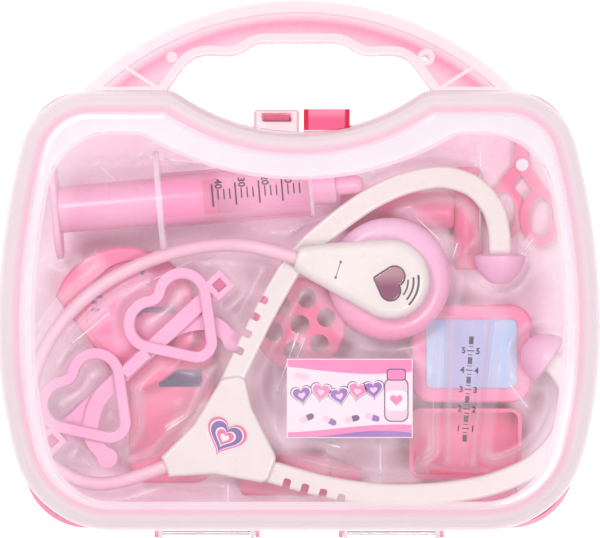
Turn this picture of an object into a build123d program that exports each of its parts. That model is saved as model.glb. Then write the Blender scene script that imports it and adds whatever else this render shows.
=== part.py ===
from build123d import *
import os
from math import acos, atan2, cos, degrees, dist, pi, radians, sin, sqrt, tan

os.makedirs("parts", exist_ok=True)

# The case lies on its back: +Z points to the clear lid, +Y to the carrying handle.
# The origin is under the middle of the case, on the face that it rests on. Millimetres.

# ---------------------------------------------------------------- clearances
part_gap = 0.3          # between pieces that only lie beside each other
running_gap = 0.06      # radial, between a shaft and its hole
slide_gap = 0.05        # radial, between the piston and its barrel

# ---------------------------------------------------------------- case: driving dimensions
half_width = 131.1      # at the widest point of the bulging sides
packed_half_width = 131.1   # the half width at which the toys' places are written
side_stretch = half_width / packed_half_width   # moves what lies by a side wall with it
widest_y = -25.0
bottom_y = -113.4
shoulder_y = 78.4       # top edge beside the handle
valley_y = 60.4         # lowest point of the dip under the handle
valley_radius = 92.0
upper_side_radius = 312.0
lower_side_radius = 214.0
neck_fillet = 14.0      # where the dip meets the shoulders
lid_top_corner = 33.0
lid_bottom_corner = 45.0
back_top_corner = 25.0
back_bottom_corner = 28.0
back_height = 31.0
back_wall = 1.8
back_edge_radius = 4.0
lid_height = 29.3       # from the parting gap to the ledge round the window
lid_wall = 1.6
lid_shoulder_radius = 13.0
window_rise = 1.4
window_half_width = 115.6
window_bottom_y = -101.5
window_shoulder_y = 60.0
window_valley_y = 40.6
window_valley_radius = 128.0
window_corner = 30.0
lip_height = 2.4        # locating lip of the back shell inside the lid
lip_thickness = 1.2
lip_seat_depth = 3.5
lip_end_y = -70.0

parting_z = back_height
lid_bottom_z = parting_z + part_gap
ledge_z = lid_bottom_z + lid_height
lid_top_z = ledge_z + window_rise

# ---------------------------------------------------------------- handle
handle_top_y = 117.7
handle_radius = 134.0
handle_root_y = 70.0    # hidden behind the shoulders
handle_half_depth = 12.0
handle_skin = 2.0       # floor of each channel, at the parting plane
outer_rim = 5.0
inner_rim = 3.0
grip_middle_y = 100.3   # straight middle of the grip's inner edge
grip_middle_x = 18.5
grip_notch_y = 94.4     # finger notch beside it
grip_notch_x = 28.0
grip_corner_y = 95.2
grip_corner_x = 47.0
grip_end_x = 60.0
grip_end_y = 77.0
grip_fillet = 14.0
boss_x = 55.5
boss_y = 93.0
boss_pin_radius = 2.4
boss_ring_radius = 3.7
boss_bore_radius = 1.5
rib_thickness = 1.6

# ---------------------------------------------------------------- hinges at the bottom edge
hinge_centre_x = 40.5
hinge_length = 46.2
ear_thickness = 1.8
ear_radius = 2.0
pin_radius = 0.9
hinge_z = parting_z
hinge_y = bottom_y - part_gap - ear_radius
ear_web_drop = 11.0

# ---------------------------------------------------------------- snap latches in the dip
latch_tongue_y = 67.2
latch_tongue_thickness = 1.4
latch_tongue_width = 11.4
latch_tongue_reach = 5.0      # beyond the slotted tab
latch_slot_width = 13.0
latch_slot_back = 1.2         # play on the case side of the tongue
latch_flex_travel = 0.8       # outward play, in which the tongue bends
latch_tab_thickness = 1.8
latch_tab_width = 20.0
latch_tab_border = 1.6
latch_front_x = -9.9
latch_back_x = 12.0
latch_foot_drop = 18.0        # from the tab's face to the tongue's root
latch_foot_height = 4.0
latch_bead_radius = 1.1

# ---------------------------------------------------------------- clear blister tray
tray_top_z = 30.5
tray_sheet = 0.7
tray_inset = 4.0
tray_pad_height = 5.2
tray_pad_radius = 17.0
upper_rest_z = tray_top_z + part_gap
lower_rest_z = back_wall


def case_outline(half, low_y, top_y, dip_y, dip_radius, top_corner, low_corner):
    """Rounded outline with bulging sides and a concave dip in the middle of its top edge."""
    top_x = half - upper_side_radius + sqrt(upper_side_radius**2 - (top_y - widest_y) ** 2)
    low_x = half - lower_side_radius + sqrt(lower_side_radius**2 - (widest_y - low_y) ** 2)
    neck_x = sqrt(dip_radius**2 - (dip_radius - (top_y - dip_y)) ** 2)
    upper_mid_y = (top_y + widest_y) / 2
    lower_mid_y = (low_y + widest_y) / 2
    upper_mid_x = half - upper_side_radius + sqrt(
        upper_side_radius**2 - (upper_mid_y - widest_y) ** 2
    )
    lower_mid_x = half - lower_side_radius + sqrt(
        lower_side_radius**2 - (lower_mid_y - widest_y) ** 2
    )
    with BuildSketch() as outline:
        with BuildLine():
            Line((-low_x, low_y), (low_x, low_y))
            ThreePointArc((low_x, low_y), (lower_mid_x, lower_mid_y), (half, widest_y))
            ThreePointArc((half, widest_y), (upper_mid_x, upper_mid_y), (top_x, top_y))
            Line((top_x, top_y), (neck_x, top_y))
            ThreePointArc((neck_x, top_y), (0, dip_y), (-neck_x, top_y))
            Line((-neck_x, top_y), (-top_x, top_y))
            ThreePointArc((-top_x, top_y), (-upper_mid_x, upper_mid_y), (-half, widest_y))
            ThreePointArc((-half, widest_y), (-lower_mid_x, lower_mid_y), (-low_x, low_y))
        make_face()
        top_row = outline.vertices().group_by(Axis.Y)[-1].sort_by(Axis.X)
        fillet([top_row[0], top_row[-1]], radius=top_corner)
        necks = outline.vertices().filter_by(lambda v: abs(abs(v.X) - neck_x) < 0.01)
        fillet(necks, radius=neck_fillet)
        fillet(outline.vertices().group_by(Axis.Y)[0], radius=low_corner)
    return outline.sketch


def inset_outline(outline, distance):
    """The outline, moved inwards by a distance, or outwards by a negative one."""
    with BuildSketch() as smaller:
        add(outline)
        offset(amount=-distance, kind=Kind.ARC)
    return smaller.sketch


lid_outline = case_outline(half_width, bottom_y, shoulder_y, valley_y, valley_radius,
                           lid_top_corner, lid_bottom_corner)
back_outline = case_outline(half_width, bottom_y, shoulder_y, valley_y, valley_radius,
                            back_top_corner, back_bottom_corner)
window_outline = case_outline(window_half_width, window_bottom_y, window_shoulder_y,
                              window_valley_y, window_valley_radius,
                              window_corner, window_corner)

# ================================================================ handle, in two integral halves
handle_centre_y = handle_top_y - handle_radius
grip_points = [
    (grip_end_x, valley_y),
    (grip_end_x, grip_end_y),
    (grip_corner_x, grip_corner_y),
    (grip_notch_x, grip_notch_y),
    (grip_middle_x, grip_middle_y),
]
grip_mirror = [(-x, y) for x, y in reversed(grip_points)]
with BuildSketch() as opening_sketch:
    with BuildLine():
        Polyline(grip_points + grip_mirror, close=True)
    make_face()
    grip_corners = opening_sketch.vertices().filter_by(
        lambda v: abs(v.X) < grip_end_x - 1 and v.Y > grip_end_y
    )
    fillet(grip_corners, radius=grip_fillet)
hand_opening = opening_sketch.sketch

with BuildSketch() as handle_sketch:
    with Locations((0, handle_centre_y)):
        Circle(handle_radius)
    with Locations((0, handle_root_y)):
        Rectangle(2 * half_width, shoulder_y, align=(Align.CENTER, Align.MIN),
                  mode=Mode.INTERSECT)
    add(hand_opening, mode=Mode.SUBTRACT)
handle_outline = handle_sketch.sketch

# The channel between the rims stops at the case wall and leaves the bosses and gusset ribs.
rib_spread = 14.5
rib_rise = 9.3
rib_foot_x = grip_end_x
rib_head_x = grip_end_x + rib_spread
rib_head_y = shoulder_y + rib_rise
with BuildSketch() as channel_sketch:
    with Locations((0, handle_centre_y)):
        Circle(handle_radius - outer_rim)
    with Locations((0, shoulder_y + rib_thickness)):
        Rectangle(2 * half_width, shoulder_y, align=(Align.CENTER, Align.MIN),
                  mode=Mode.INTERSECT)
    add(inset_outline(hand_opening, -inner_rim), mode=Mode.SUBTRACT)
    with Locations((-boss_x, boss_y)):
        Circle(boss_pin_radius, mode=Mode.SUBTRACT)
    with Locations((boss_x, boss_y)):
        Circle(boss_ring_radius, mode=Mode.SUBTRACT)
    for side in (-1, 1):
        rib_angle = degrees(atan2(shoulder_y - rib_head_y, side * (rib_foot_x - rib_head_x)))
        with Locations((side * (rib_foot_x + rib_head_x) / 2, (shoulder_y + rib_head_y) / 2)):
            Rectangle(2 * (rib_head_x - rib_foot_x), rib_thickness, rotation=rib_angle,
                      mode=Mode.SUBTRACT)
channel_outline = channel_sketch.sketch


def latch_slot(centre_x, z_low, z_high):
    """The space that the slot of a latch tab leaves for its tongue."""
    slot_low = latch_tongue_y - latch_tongue_thickness / 2 - latch_slot_back
    slot_high = latch_tongue_y + latch_tongue_thickness / 2 + latch_flex_travel + part_gap
    with BuildPart() as slot:
        with BuildSketch(Plane.XY.offset(z_low)):
            with Locations((centre_x, (slot_low + slot_high) / 2)):
                Rectangle(latch_slot_width, slot_high - slot_low)
        extrude(amount=z_high - z_low)
    return slot.part


def latch_tab(centre_x, z_low):
    """A flat tab that stands out from the dip of the case."""
    tab_high = (latch_tongue_y + latch_tongue_thickness / 2 + latch_flex_travel + part_gap
                + latch_tab_border)
    with BuildPart() as tab:
        with BuildSketch(Plane.XY.offset(z_low)) as tab_face:
            with Locations((centre_x, (valley_y + tab_high) / 2)):
                Rectangle(latch_tab_width, tab_high - valley_y)
            fillet(tab_face.vertices().group_by(Axis.Y)[-1], radius=latch_tab_border)
        extrude(amount=latch_tab_thickness)
    return tab.part


def latch_foot(centre_x, bead_z, up):
    """The foot that holds the root bead of a tongue; up is 1 or -1, the way the tongue points."""
    foot_high = latch_tongue_y + latch_bead_radius + latch_tab_border
    with BuildPart() as foot:
        with BuildSketch(Plane.XY.offset(bead_z - latch_foot_height / 2)):
            with Locations((centre_x, (valley_y + foot_high) / 2)):
                Rectangle(latch_tab_width, foot_high - valley_y)
        extrude(amount=latch_foot_height)
        with BuildSketch(Plane.YZ.offset(centre_x - latch_tongue_width / 2 - part_gap)):
            with Locations((latch_tongue_y, bead_z)):
                Circle(latch_bead_radius + running_gap)
            with Locations((latch_tongue_y, bead_z + up * latch_foot_height / 2)):
                Rectangle(latch_tongue_thickness + 2 * part_gap, latch_foot_height)
        extrude(amount=latch_tongue_width + 2 * part_gap, mode=Mode.SUBTRACT)
    return foot.part


def latch_tongue(centre_x, bead_z, tip_z):
    """A springy tongue with a round bead at its root and a wedge nose near its tip."""
    up = 1 if tip_z > bead_z else -1
    nose_depth = latch_slot_back - part_gap
    back_y = latch_tongue_y - latch_tongue_thickness / 2
    front_y = latch_tongue_y + latch_tongue_thickness / 2
    with BuildPart() as tongue:
        with BuildSketch(Plane.YZ.offset(centre_x - latch_tongue_width / 2)):
            with BuildLine():
                Polyline(
                    (front_y, bead_z),
                    (front_y, tip_z),
                    (back_y, tip_z),
                    (back_y - nose_depth, tip_z - up * 3 * nose_depth),
                    (back_y - nose_depth, tip_z - up * 4 * nose_depth),
                    (back_y, tip_z - up * 4.5 * nose_depth),
                    (back_y, bead_z),
                    close=True,
                )
            make_face()
            with Locations((latch_tongue_y, bead_z)):
                Circle(latch_bead_radius)
        extrude(amount=latch_tongue_width)
    return tongue.part


def hinge_ear(centre_x, up, bore_radius):
    """One hinge ear with its web along the bottom wall; up is 1 on the lid and -1 on the back."""
    outer_y = hinge_y - ear_radius
    wall_y = bottom_y + lid_wall / 2
    web_z = hinge_z + up * ear_web_drop
    start_z = hinge_z + up * part_gap
    with BuildPart() as ear:
        with BuildSketch(Plane.YZ.offset(centre_x - ear_thickness / 2)):
            with Locations((hinge_y, hinge_z)):
                Circle(ear_radius)
            with BuildLine():
                Polyline(
                    (outer_y, hinge_z),
                    (hinge_y + ear_radius, hinge_z),
                    (hinge_y + ear_radius, start_z),
                    (wall_y, start_z),
                    (wall_y, web_z),
                    (bottom_y, web_z),
                    (outer_y, hinge_z + up * ear_web_drop / 2),
                    close=True,
                )
            make_face()
            with Locations((hinge_y, hinge_z)):
                Circle(bore_radius, mode=Mode.SUBTRACT)
        extrude(amount=ear_thickness)
    return ear.part


hinge_ends = hinge_length / 2 - ear_thickness / 2
lid_ear_offset = hinge_ends - ear_thickness - part_gap
latch_front_tab_z = lid_bottom_z
latch_back_tab_z = parting_z - latch_tab_thickness
latch_front_bead_z = parting_z - latch_foot_drop
latch_back_bead_z = lid_bottom_z + latch_foot_drop
latch_front_tip_z = lid_bottom_z + latch_tab_thickness + latch_tongue_reach
latch_back_tip_z = latch_back_tab_z - latch_tongue_reach

# ================================================================ case
with BuildPart() as back_shell:
    with BuildSketch():
        add(back_outline)
    extrude(amount=back_height)
    fillet(back_shell.faces().sort_by(Axis.Z)[0].outer_wire().edges(), radius=back_edge_radius)
    with BuildSketch(Plane.XY.offset(parting_z - handle_half_depth)):
        add(handle_outline)
    extrude(amount=handle_half_depth)
    add(latch_tab(latch_back_x, latch_back_tab_z))
    add(latch_foot(latch_front_x, latch_front_bead_z, 1))
    for hinge_x in (-hinge_centre_x, hinge_centre_x):
        for end in (-hinge_ends, hinge_ends):
            add(hinge_ear(hinge_x + end, -1, pin_radius))
    with BuildPart(mode=Mode.PRIVATE) as back_cavity:
        with BuildSketch(Plane.XY.offset(back_wall)):
            add(inset_outline(back_outline, back_wall))
        extrude(amount=back_height)
        floor_edges = back_cavity.faces().sort_by(Axis.Z)[0].outer_wire().edges()
        fillet(floor_edges, radius=back_edge_radius - back_wall)
    add(back_cavity.part, mode=Mode.SUBTRACT)
    with BuildPart(mode=Mode.PRIVATE) as lip:
        with BuildSketch(Plane.XY.offset(parting_z - lip_seat_depth)):
            add(inset_outline(back_outline, back_wall / 2))
            add(inset_outline(lid_outline, lid_wall + part_gap + lip_thickness),
                mode=Mode.SUBTRACT)
        extrude(amount=lip_seat_depth)
        with BuildSketch(Plane.XY.offset(parting_z - lip_seat_depth)):
            add(inset_outline(lid_outline, lid_wall + part_gap))
            add(inset_outline(lid_outline, lid_wall + part_gap + lip_thickness),
                mode=Mode.SUBTRACT)
        extrude(amount=lip_seat_depth + lip_height)
        split(bisect_by=Plane.XZ.offset(-lip_end_y), keep=Keep.BOTTOM)
    add(lip.part)
    with BuildSketch(Plane.XY.offset(parting_z - handle_half_depth)):
        add(channel_outline)
    extrude(amount=handle_half_depth - handle_skin, mode=Mode.SUBTRACT)
    add(latch_slot(latch_back_x, latch_back_tab_z - 1, parting_z + 1), mode=Mode.SUBTRACT)
    with Locations((0, 0, parting_z)):
        with Locations((boss_x, boss_y)):
            Hole(boss_bore_radius, depth=handle_half_depth)
back_shell.part.label = "back_shell"
export_step(back_shell.part, "parts/back_shell.step")

with BuildPart() as lid_shell:
    with BuildSketch(Plane.XY.offset(lid_bottom_z)):
        add(lid_outline)
    extrude(amount=lid_height)
    shoulder_edges = lid_shell.faces().sort_by(Axis.Z)[-1].outer_wire().edges()
    fillet(shoulder_edges, radius=lid_shoulder_radius)
    with BuildSketch(Plane.XY.offset(ledge_z - window_rise)):
        add(window_outline)
    extrude(amount=2 * window_rise)
    fillet(lid_shell.faces().sort_by(Axis.Z)[-1].outer_wire().edges(), radius=window_rise / 2)
    with BuildSketch(Plane.XY.offset(lid_bottom_z)):
        add(handle_outline)
    extrude(amount=handle_half_depth - part_gap)
    add(latch_tab(latch_front_x, latch_front_tab_z))
    add(latch_foot(latch_back_x, latch_back_bead_z, -1))
    for hinge_x in (-hinge_centre_x, hinge_centre_x):
        for end in (-lid_ear_offset, lid_ear_offset):
            add(hinge_ear(hinge_x + end, 1, pin_radius + running_gap))
    with BuildPart(mode=Mode.PRIVATE) as lid_cavity:
        with BuildSketch(Plane.XY.offset(lid_bottom_z - 1)):
            add(inset_outline(lid_outline, lid_wall))
        extrude(amount=lid_height - lid_wall + 1)
        roof_edges = lid_cavity.faces().sort_by(Axis.Z)[-1].outer_wire().edges()
        fillet(roof_edges, radius=lid_shoulder_radius - lid_wall)
        with BuildSketch(Plane.XY.offset(ledge_z - 2 * lid_wall)):
            add(inset_outline(window_outline, lid_wall))
        extrude(amount=lid_wall + window_rise)
    add(lid_cavity.part, mode=Mode.SUBTRACT)
    with BuildSketch(Plane.XY.offset(lid_bottom_z + handle_skin)):
        add(channel_outline)
    extrude(amount=handle_half_depth, mode=Mode.SUBTRACT)
    add(latch_slot(latch_front_x, lid_bottom_z - 1, lid_bottom_z + latch_tab_thickness + 1),
        mode=Mode.SUBTRACT)
    with Locations((0, 0, parting_z + handle_half_depth)):
        with Locations((boss_x, boss_y)):
            Hole(boss_bore_radius, depth=handle_half_depth)
lid_shell.part.label = "lid_shell"
export_step(lid_shell.part, "parts/lid_shell.step")

with BuildPart() as hinge_pins:
    for hinge_x in (-hinge_centre_x, hinge_centre_x):
        with BuildSketch(Plane.YZ.offset(hinge_x - hinge_length / 2)):
            with Locations((hinge_y, hinge_z)):
                Circle(pin_radius)
        extrude(amount=hinge_length)
hinge_pins.part.label = "hinge_pins"
export_step(hinge_pins.part, "parts/hinge_pins.step")

with BuildPart() as latch_tongue_front:
    add(latch_tongue(latch_front_x, latch_front_bead_z, latch_front_tip_z))
latch_tongue_front.part.label = "latch_tongue_front"
export_step(latch_tongue_front.part, "parts/latch_tongue_front.step")

with BuildPart() as latch_tongue_back:
    add(latch_tongue(latch_back_x, latch_back_bead_z, latch_back_tip_z))
latch_tongue_back.part.label = "latch_tongue_back"
export_step(latch_tongue_back.part, "parts/latch_tongue_back.step")

# ================================================================ stethoscope: shared sizes
arm_width = 9.7
arm_thickness = 7.0
arm_edge_radius = 1.5
tip_radius = 11.4
arm_z = upper_rest_z + tip_radius
yoke_half_thickness = 6.0
yoke_corner = 4.0
yoke_edge_radius = 1.6
yoke_centre = (-33.5, -74.0)

# ================================================================ blister tray
with BuildPart() as blister_tray:
    tray_outline = inset_outline(lid_outline, tray_inset)
    with BuildSketch(Plane.XY.offset(back_wall)):
        add(tray_outline)
    extrude(amount=tray_top_z - back_wall)
    with BuildSketch(Plane.XY.offset(tray_top_z)):
        with Locations(yoke_centre):
            RegularPolygon(tray_pad_radius, 6)
    extrude(amount=tray_pad_height, taper=8)
    with BuildSketch(Plane.XY.offset(back_wall)):
        add(inset_outline(lid_outline, tray_inset + tray_sheet))
    extrude(amount=tray_top_z - tray_sheet - back_wall, mode=Mode.SUBTRACT)
    with BuildSketch(Plane.XY.offset(tray_top_z - tray_sheet)):
        with Locations(yoke_centre):
            RegularPolygon(tray_pad_radius - tray_sheet, 6)
    extrude(amount=tray_pad_height, taper=8, mode=Mode.SUBTRACT)
blister_tray.part.label = "blister_tray"
export_step(blister_tray.part, "parts/blister_tray.step")

# ================================================================ syringe
flange_x = -62.0        # near face of the finger flange
flange_y = 30.0
syringe_tilt = 4.9      # degrees up to the right
barrel_radius = 12.1
barrel_bore = 10.9
barrel_length = 65.5
barrel_end_wall = 1.6
barrel_end_ring = 2.4
barrel_ring_radius = 12.6
flange_length = 44.0    # across, as a stadium
flange_width = 24.0
flange_thickness = 2.6
nozzle_edge_radius = 0.8
plunger_edge_radius = 1.0
barrel_edge_radius = 0.6
rod_radius = 10.2
rod_length = 63.0
rod_wall = 1.4
rod_drawn_out = 42.5    # from the flange to the thumb plate
thumb_plate_length = 43.0
thumb_plate_thickness = 3.0
seal_length = 6.0
seal_rib = 1.4
nozzle_radius = 7.5
nozzle_length = 10.1
nozzle_step_radius = 5.0
cap_radius = 4.2
cap_length = 12.3
syringe_z = upper_rest_z + barrel_ring_radius


def syringe_plane(station):
    """Plane square to the syringe's axis, at a distance from the flange towards the nozzle."""
    along = (cos(radians(syringe_tilt)), sin(radians(syringe_tilt)), 0)
    start = (flange_x + station * along[0], flange_y + station * along[1], syringe_z)
    return Plane(origin=start, x_dir=(along[1], -along[0], 0), z_dir=along)


barrel_end = flange_thickness + barrel_length
with BuildPart() as syringe_barrel:
    with BuildSketch(syringe_plane(0)):
        SlotOverall(flange_length, flange_width)
    extrude(amount=flange_thickness)
    fillet(syringe_barrel.edges(), radius=barrel_edge_radius)
    with BuildSketch(syringe_plane(0)):
        Circle(barrel_radius)
    extrude(amount=barrel_end)
    with BuildSketch(syringe_plane(barrel_end - barrel_end_ring)):
        Circle(barrel_ring_radius)
    extrude(amount=barrel_end_ring)
    with BuildSketch(syringe_plane(0)):
        Circle(barrel_bore)
    extrude(amount=barrel_end - barrel_end_wall, mode=Mode.SUBTRACT)
    with BuildSketch(syringe_plane(0)):
        Circle(nozzle_step_radius)
    extrude(amount=barrel_end, mode=Mode.SUBTRACT)
syringe_barrel.part.label = "syringe_barrel"
export_step(syringe_barrel.part, "parts/syringe_barrel.step")

rod_end = rod_length - rod_drawn_out
with BuildPart() as syringe_plunger:
    with BuildSketch(syringe_plane(-rod_drawn_out - thumb_plate_thickness)):
        SlotOverall(thumb_plate_length, flange_width)
    extrude(amount=thumb_plate_thickness)
    fillet(syringe_plunger.edges(), radius=plunger_edge_radius)
    with BuildSketch(syringe_plane(-rod_drawn_out)):
        Circle(rod_radius)
    extrude(amount=rod_length)
    with BuildSketch(syringe_plane(rod_end)):
        Circle(nozzle_step_radius)
    extrude(amount=seal_length)
    with BuildSketch(syringe_plane(-rod_drawn_out)):
        Circle(rod_radius - rod_wall)
    extrude(amount=rod_length - rod_wall, mode=Mode.SUBTRACT)
    with BuildSketch(syringe_plane(-rod_drawn_out)):
        Circle(nozzle_step_radius - rod_wall)
    extrude(amount=rod_length + seal_length, mode=Mode.SUBTRACT)
syringe_plunger.part.label = "syringe_plunger"
export_step(syringe_plunger.part, "parts/syringe_plunger.step")

with BuildPart() as syringe_seal:
    with BuildSketch(syringe_plane(rod_end)):
        Circle(barrel_bore - slide_gap)
        Circle(nozzle_step_radius, mode=Mode.SUBTRACT)
    extrude(amount=seal_length)
    with BuildSketch(syringe_plane(rod_end + seal_rib)):
        Circle(barrel_radius)
        Circle(barrel_bore - 2 * slide_gap - seal_rib / 2, mode=Mode.SUBTRACT)
    extrude(amount=seal_length - 2 * seal_rib, mode=Mode.SUBTRACT)
syringe_seal.part.label = "syringe_seal"
export_step(syringe_seal.part, "parts/syringe_seal.step")

with BuildPart() as syringe_nozzle:
    with BuildSketch(syringe_plane(barrel_end)):
        Circle(nozzle_radius)
    extrude(amount=nozzle_length)
    fillet(syringe_nozzle.faces().sort_by(Axis.X)[-1].edges(), radius=nozzle_edge_radius)
    with BuildSketch(syringe_plane(barrel_end - barrel_end_wall)):
        Circle(nozzle_step_radius)
    extrude(amount=barrel_end_wall)
    with BuildSketch(syringe_plane(barrel_end + nozzle_length)):
        Circle(cap_radius / 2)
    extrude(amount=cap_length - cap_radius)
syringe_nozzle.part.label = "syringe_nozzle"
export_step(syringe_nozzle.part, "parts/syringe_nozzle.step")

with BuildPart() as syringe_cap:
    with BuildSketch(syringe_plane(barrel_end + nozzle_length)):
        Circle(cap_radius)
    extrude(amount=cap_length, taper=2)
    fillet(syringe_cap.faces().sort_by(Axis.X)[-1].edges(), radius=cap_radius * 0.8)
    with BuildSketch(syringe_plane(barrel_end + nozzle_length)):
        Circle(cap_radius / 2)
    extrude(amount=cap_length - cap_radius, mode=Mode.SUBTRACT)
syringe_cap.part.label = "syringe_cap"
export_step(syringe_cap.part, "parts/syringe_cap.step")

# ================================================================ stethoscope headset
upper_arm_route = [
    (-31.0, -52.0), (-27.3, -43.9), (-15.8, -19.7), (-3.1, 2.3), (4.8, 11.2), (18.0, 22.2),
    (31.2, 31.4), (46.6, 38.4), (63.8, 41.3), (77.4, 36.6), (85.4, 26.5), (87.6, 15.5),
    (87.6, 3.4),
]
lower_arm_route = [
    (-20.0, -85.8), (-12.8, -87.9), (13.6, -95.4), (37.8, -98.4), (62.0, -97.6), (84.0, -94.0),
    (101.6 * side_stretch, -86.6), (112.8 * side_stretch, -76.0), (118.4 * side_stretch, -62.4),
    (118.4 * side_stretch, -50.5), (113.0 * side_stretch, -42.0), (106.5 * side_stretch, -37.6),
]
comb_depth = 4.2
comb_slot = 3.4
comb_pitch = 8.2
comb_slots = 4
comb_start = 8.5        # from the yoke's edge to the first slot
socket_gap = 0.1        # between an arm and its seat in the yoke


def bend_radii(points):
    """The largest arcs that fit a route: 0.45 of the shorter run over tan(half the turn)."""
    radii = []
    for before, here, after in zip(points, points[1:], points[2:]):
        run_in = Vector(*here) - Vector(*before)
        run_out = Vector(*after) - Vector(*here)
        turn = radians(run_in.get_angle(run_out))
        radii.append(0.45 * min(run_in.length, run_out.length) / tan(turn / 2))
    return radii


def ear_arm(route, notch_side):
    """A flat springy arm with comb slots along one edge of its first long run."""
    with BuildPart() as arm:
        with BuildLine(mode=Mode.PRIVATE) as centre_line:
            FilletPolyline(*route, radius=bend_radii(route))
        with BuildSketch(Plane.XY.offset(arm_z - arm_thickness / 2)):
            trace(centre_line.line, line_width=arm_width)
        extrude(amount=arm_thickness)
        rim_edges = (arm.faces().sort_by(Axis.Z)[0].edges()
                     + arm.faces().sort_by(Axis.Z)[-1].edges())
        fillet(rim_edges, radius=arm_edge_radius)
        notch_from, notch_to = route[1], route[2]
        run = dist(notch_from, notch_to)
        along = ((notch_to[0] - notch_from[0]) / run, (notch_to[1] - notch_from[1]) / run)
        across = (-along[1] * notch_side, along[0] * notch_side)
        slot_angle = degrees(atan2(along[1], along[0]))
        for index in range(comb_slots):
            reach = comb_start + index * comb_pitch
            slot_at = (
                notch_from[0] + reach * along[0] + across[0] * arm_width / 2,
                notch_from[1] + reach * along[1] + across[1] * arm_width / 2,
            )
            with BuildSketch(Plane.XY.offset(arm_z - arm_thickness)):
                with Locations(slot_at):
                    RectangleRounded(comb_slot, 2 * comb_depth, comb_slot / 3,
                                     rotation=slot_angle)
            extrude(amount=2 * arm_thickness, mode=Mode.SUBTRACT)
    return arm.part


def arm_seat(route):
    """The channel that the end of an arm needs inside the yoke."""
    with BuildPart() as seat:
        with BuildLine(mode=Mode.PRIVATE) as first_run:
            FilletPolyline(*route[:4], radius=bend_radii(route[:4]))
        with BuildSketch(Plane.XY.offset(arm_z - arm_thickness / 2 - socket_gap)):
            trace(first_run.line, line_width=arm_width + 2 * socket_gap)
        extrude(amount=arm_thickness + 2 * socket_gap)
    return seat.part


def ear_tip(route):
    """A soft mushroom tip that sits on the end of an arm and has a seat for it."""
    end = route[-1]
    before = route[-2]
    run = dist(before, end)
    along = ((end[0] - before[0]) / run, (end[1] - before[1]) / run, 0)
    with BuildPart() as tip:
        with BuildSketch(Plane(origin=(*end, arm_z), x_dir=(along[1], -along[0], 0))):
            with BuildLine():
                Polyline((0, tip_flat), (0, -tip_skirt), (tip_neck, -tip_skirt - tip_dish),
                         (tip_radius, -tip_skirt))
                ThreePointArc((tip_radius, -tip_skirt), (tip_radius * 0.78, tip_flat * 0.45),
                              (tip_nub, tip_flat))
                Line((tip_nub, tip_flat), (0, tip_flat))
            make_face()
        revolve(axis=Axis((*end, arm_z), along))
        add(tip_socket(route), mode=Mode.SUBTRACT)
    return tip.part


def tip_socket(route):
    """The space inside an ear tip that the end of its arm fills."""
    with BuildPart() as socket:
        with BuildLine(mode=Mode.PRIVATE) as last_run:
            Line(route[-2], route[-1])
        with BuildSketch(Plane.XY.offset(arm_z - arm_thickness / 2 - socket_gap)):
            trace(last_run.line, line_width=arm_width + 2 * socket_gap)
        extrude(amount=arm_thickness + 2 * socket_gap)
    return socket.part


tip_skirt = 2.6         # back from the end of the arm to the widest ring
tip_dish = 1.2
tip_neck = 8.0
tip_flat = 9.4          # from the end of the arm to the front of the tip
tip_nub = 3.0

with BuildPart() as ear_arm_upper:
    add(ear_arm(upper_arm_route, 1))
ear_arm_upper.part.label = "ear_arm_upper"
export_step(ear_arm_upper.part, "parts/ear_arm_upper.step")

with BuildPart() as ear_arm_lower:
    add(ear_arm(lower_arm_route, -1))
ear_arm_lower.part.label = "ear_arm_lower"
export_step(ear_arm_lower.part, "parts/ear_arm_lower.step")

with BuildPart() as ear_tip_upper:
    add(ear_tip(upper_arm_route))
ear_tip_upper.part.label = "ear_tip_upper"
export_step(ear_tip_upper.part, "parts/ear_tip_upper.step")

with BuildPart() as ear_tip_lower:
    add(ear_tip(lower_arm_route))
ear_tip_lower.part.label = "ear_tip_lower"
export_step(ear_tip_lower.part, "parts/ear_tip_lower.step")

# ---------------------------------------------------------------- yoke
tube_radius = 3.0
yoke_tube_low = (-56.6, -90.0)      # the end face that the hose leaves from
yoke_tube_high = (-60.0, -81.2)
yoke_corners = [
    (-33.8, -47.2), (-23.8, -45.6), (-20.6, -60.0), (-9.8, -81.6), (-14.0, -93.0),
    (-37.0, -88.8), yoke_tube_low, yoke_tube_high, (-46.0, -67.4),
]
yoke_screw_points = [(-29.5, -60.5), (-22.0, -80.5), (-49.0, -81.5)]
screw_radius = 1.4
screw_head_radius = 2.6
screw_head_height = 1.6
screw_reach = 8.0
badge_size = 16.5
badge_thickness = 0.5
badge_turn = -25.0


def yoke_half(z_low, round_top):
    """One half of the Y-shaped headset joint, rounded along its outer face."""
    with BuildPart() as half:
        with BuildSketch(Plane.XY.offset(z_low)) as face:
            with BuildLine():
                Polyline(yoke_corners, close=True)
            make_face()
            free_corners = face.vertices().filter_by(
                lambda v: v.X > yoke_tube_low[0] + 1
            )
            fillet(free_corners, radius=yoke_corner)
        extrude(amount=yoke_half_thickness)
        outer = half.faces().sort_by(Axis.Z)[-1 if round_top else 0]
        fillet(outer.edges(), radius=yoke_edge_radius)
        add(arm_seat(upper_arm_route), mode=Mode.SUBTRACT)
        add(arm_seat(lower_arm_route), mode=Mode.SUBTRACT)
    return half.part


with BuildPart() as yoke_front:
    add(yoke_half(arm_z, True))
    with BuildSketch(Plane.XY.offset(arm_z)):
        with Locations(yoke_screw_points):
            Circle(screw_radius)
    extrude(amount=screw_reach - yoke_half_thickness + screw_head_height, mode=Mode.SUBTRACT)
yoke_front.part.label = "yoke_front"
export_step(yoke_front.part, "parts/yoke_front.step")

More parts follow.
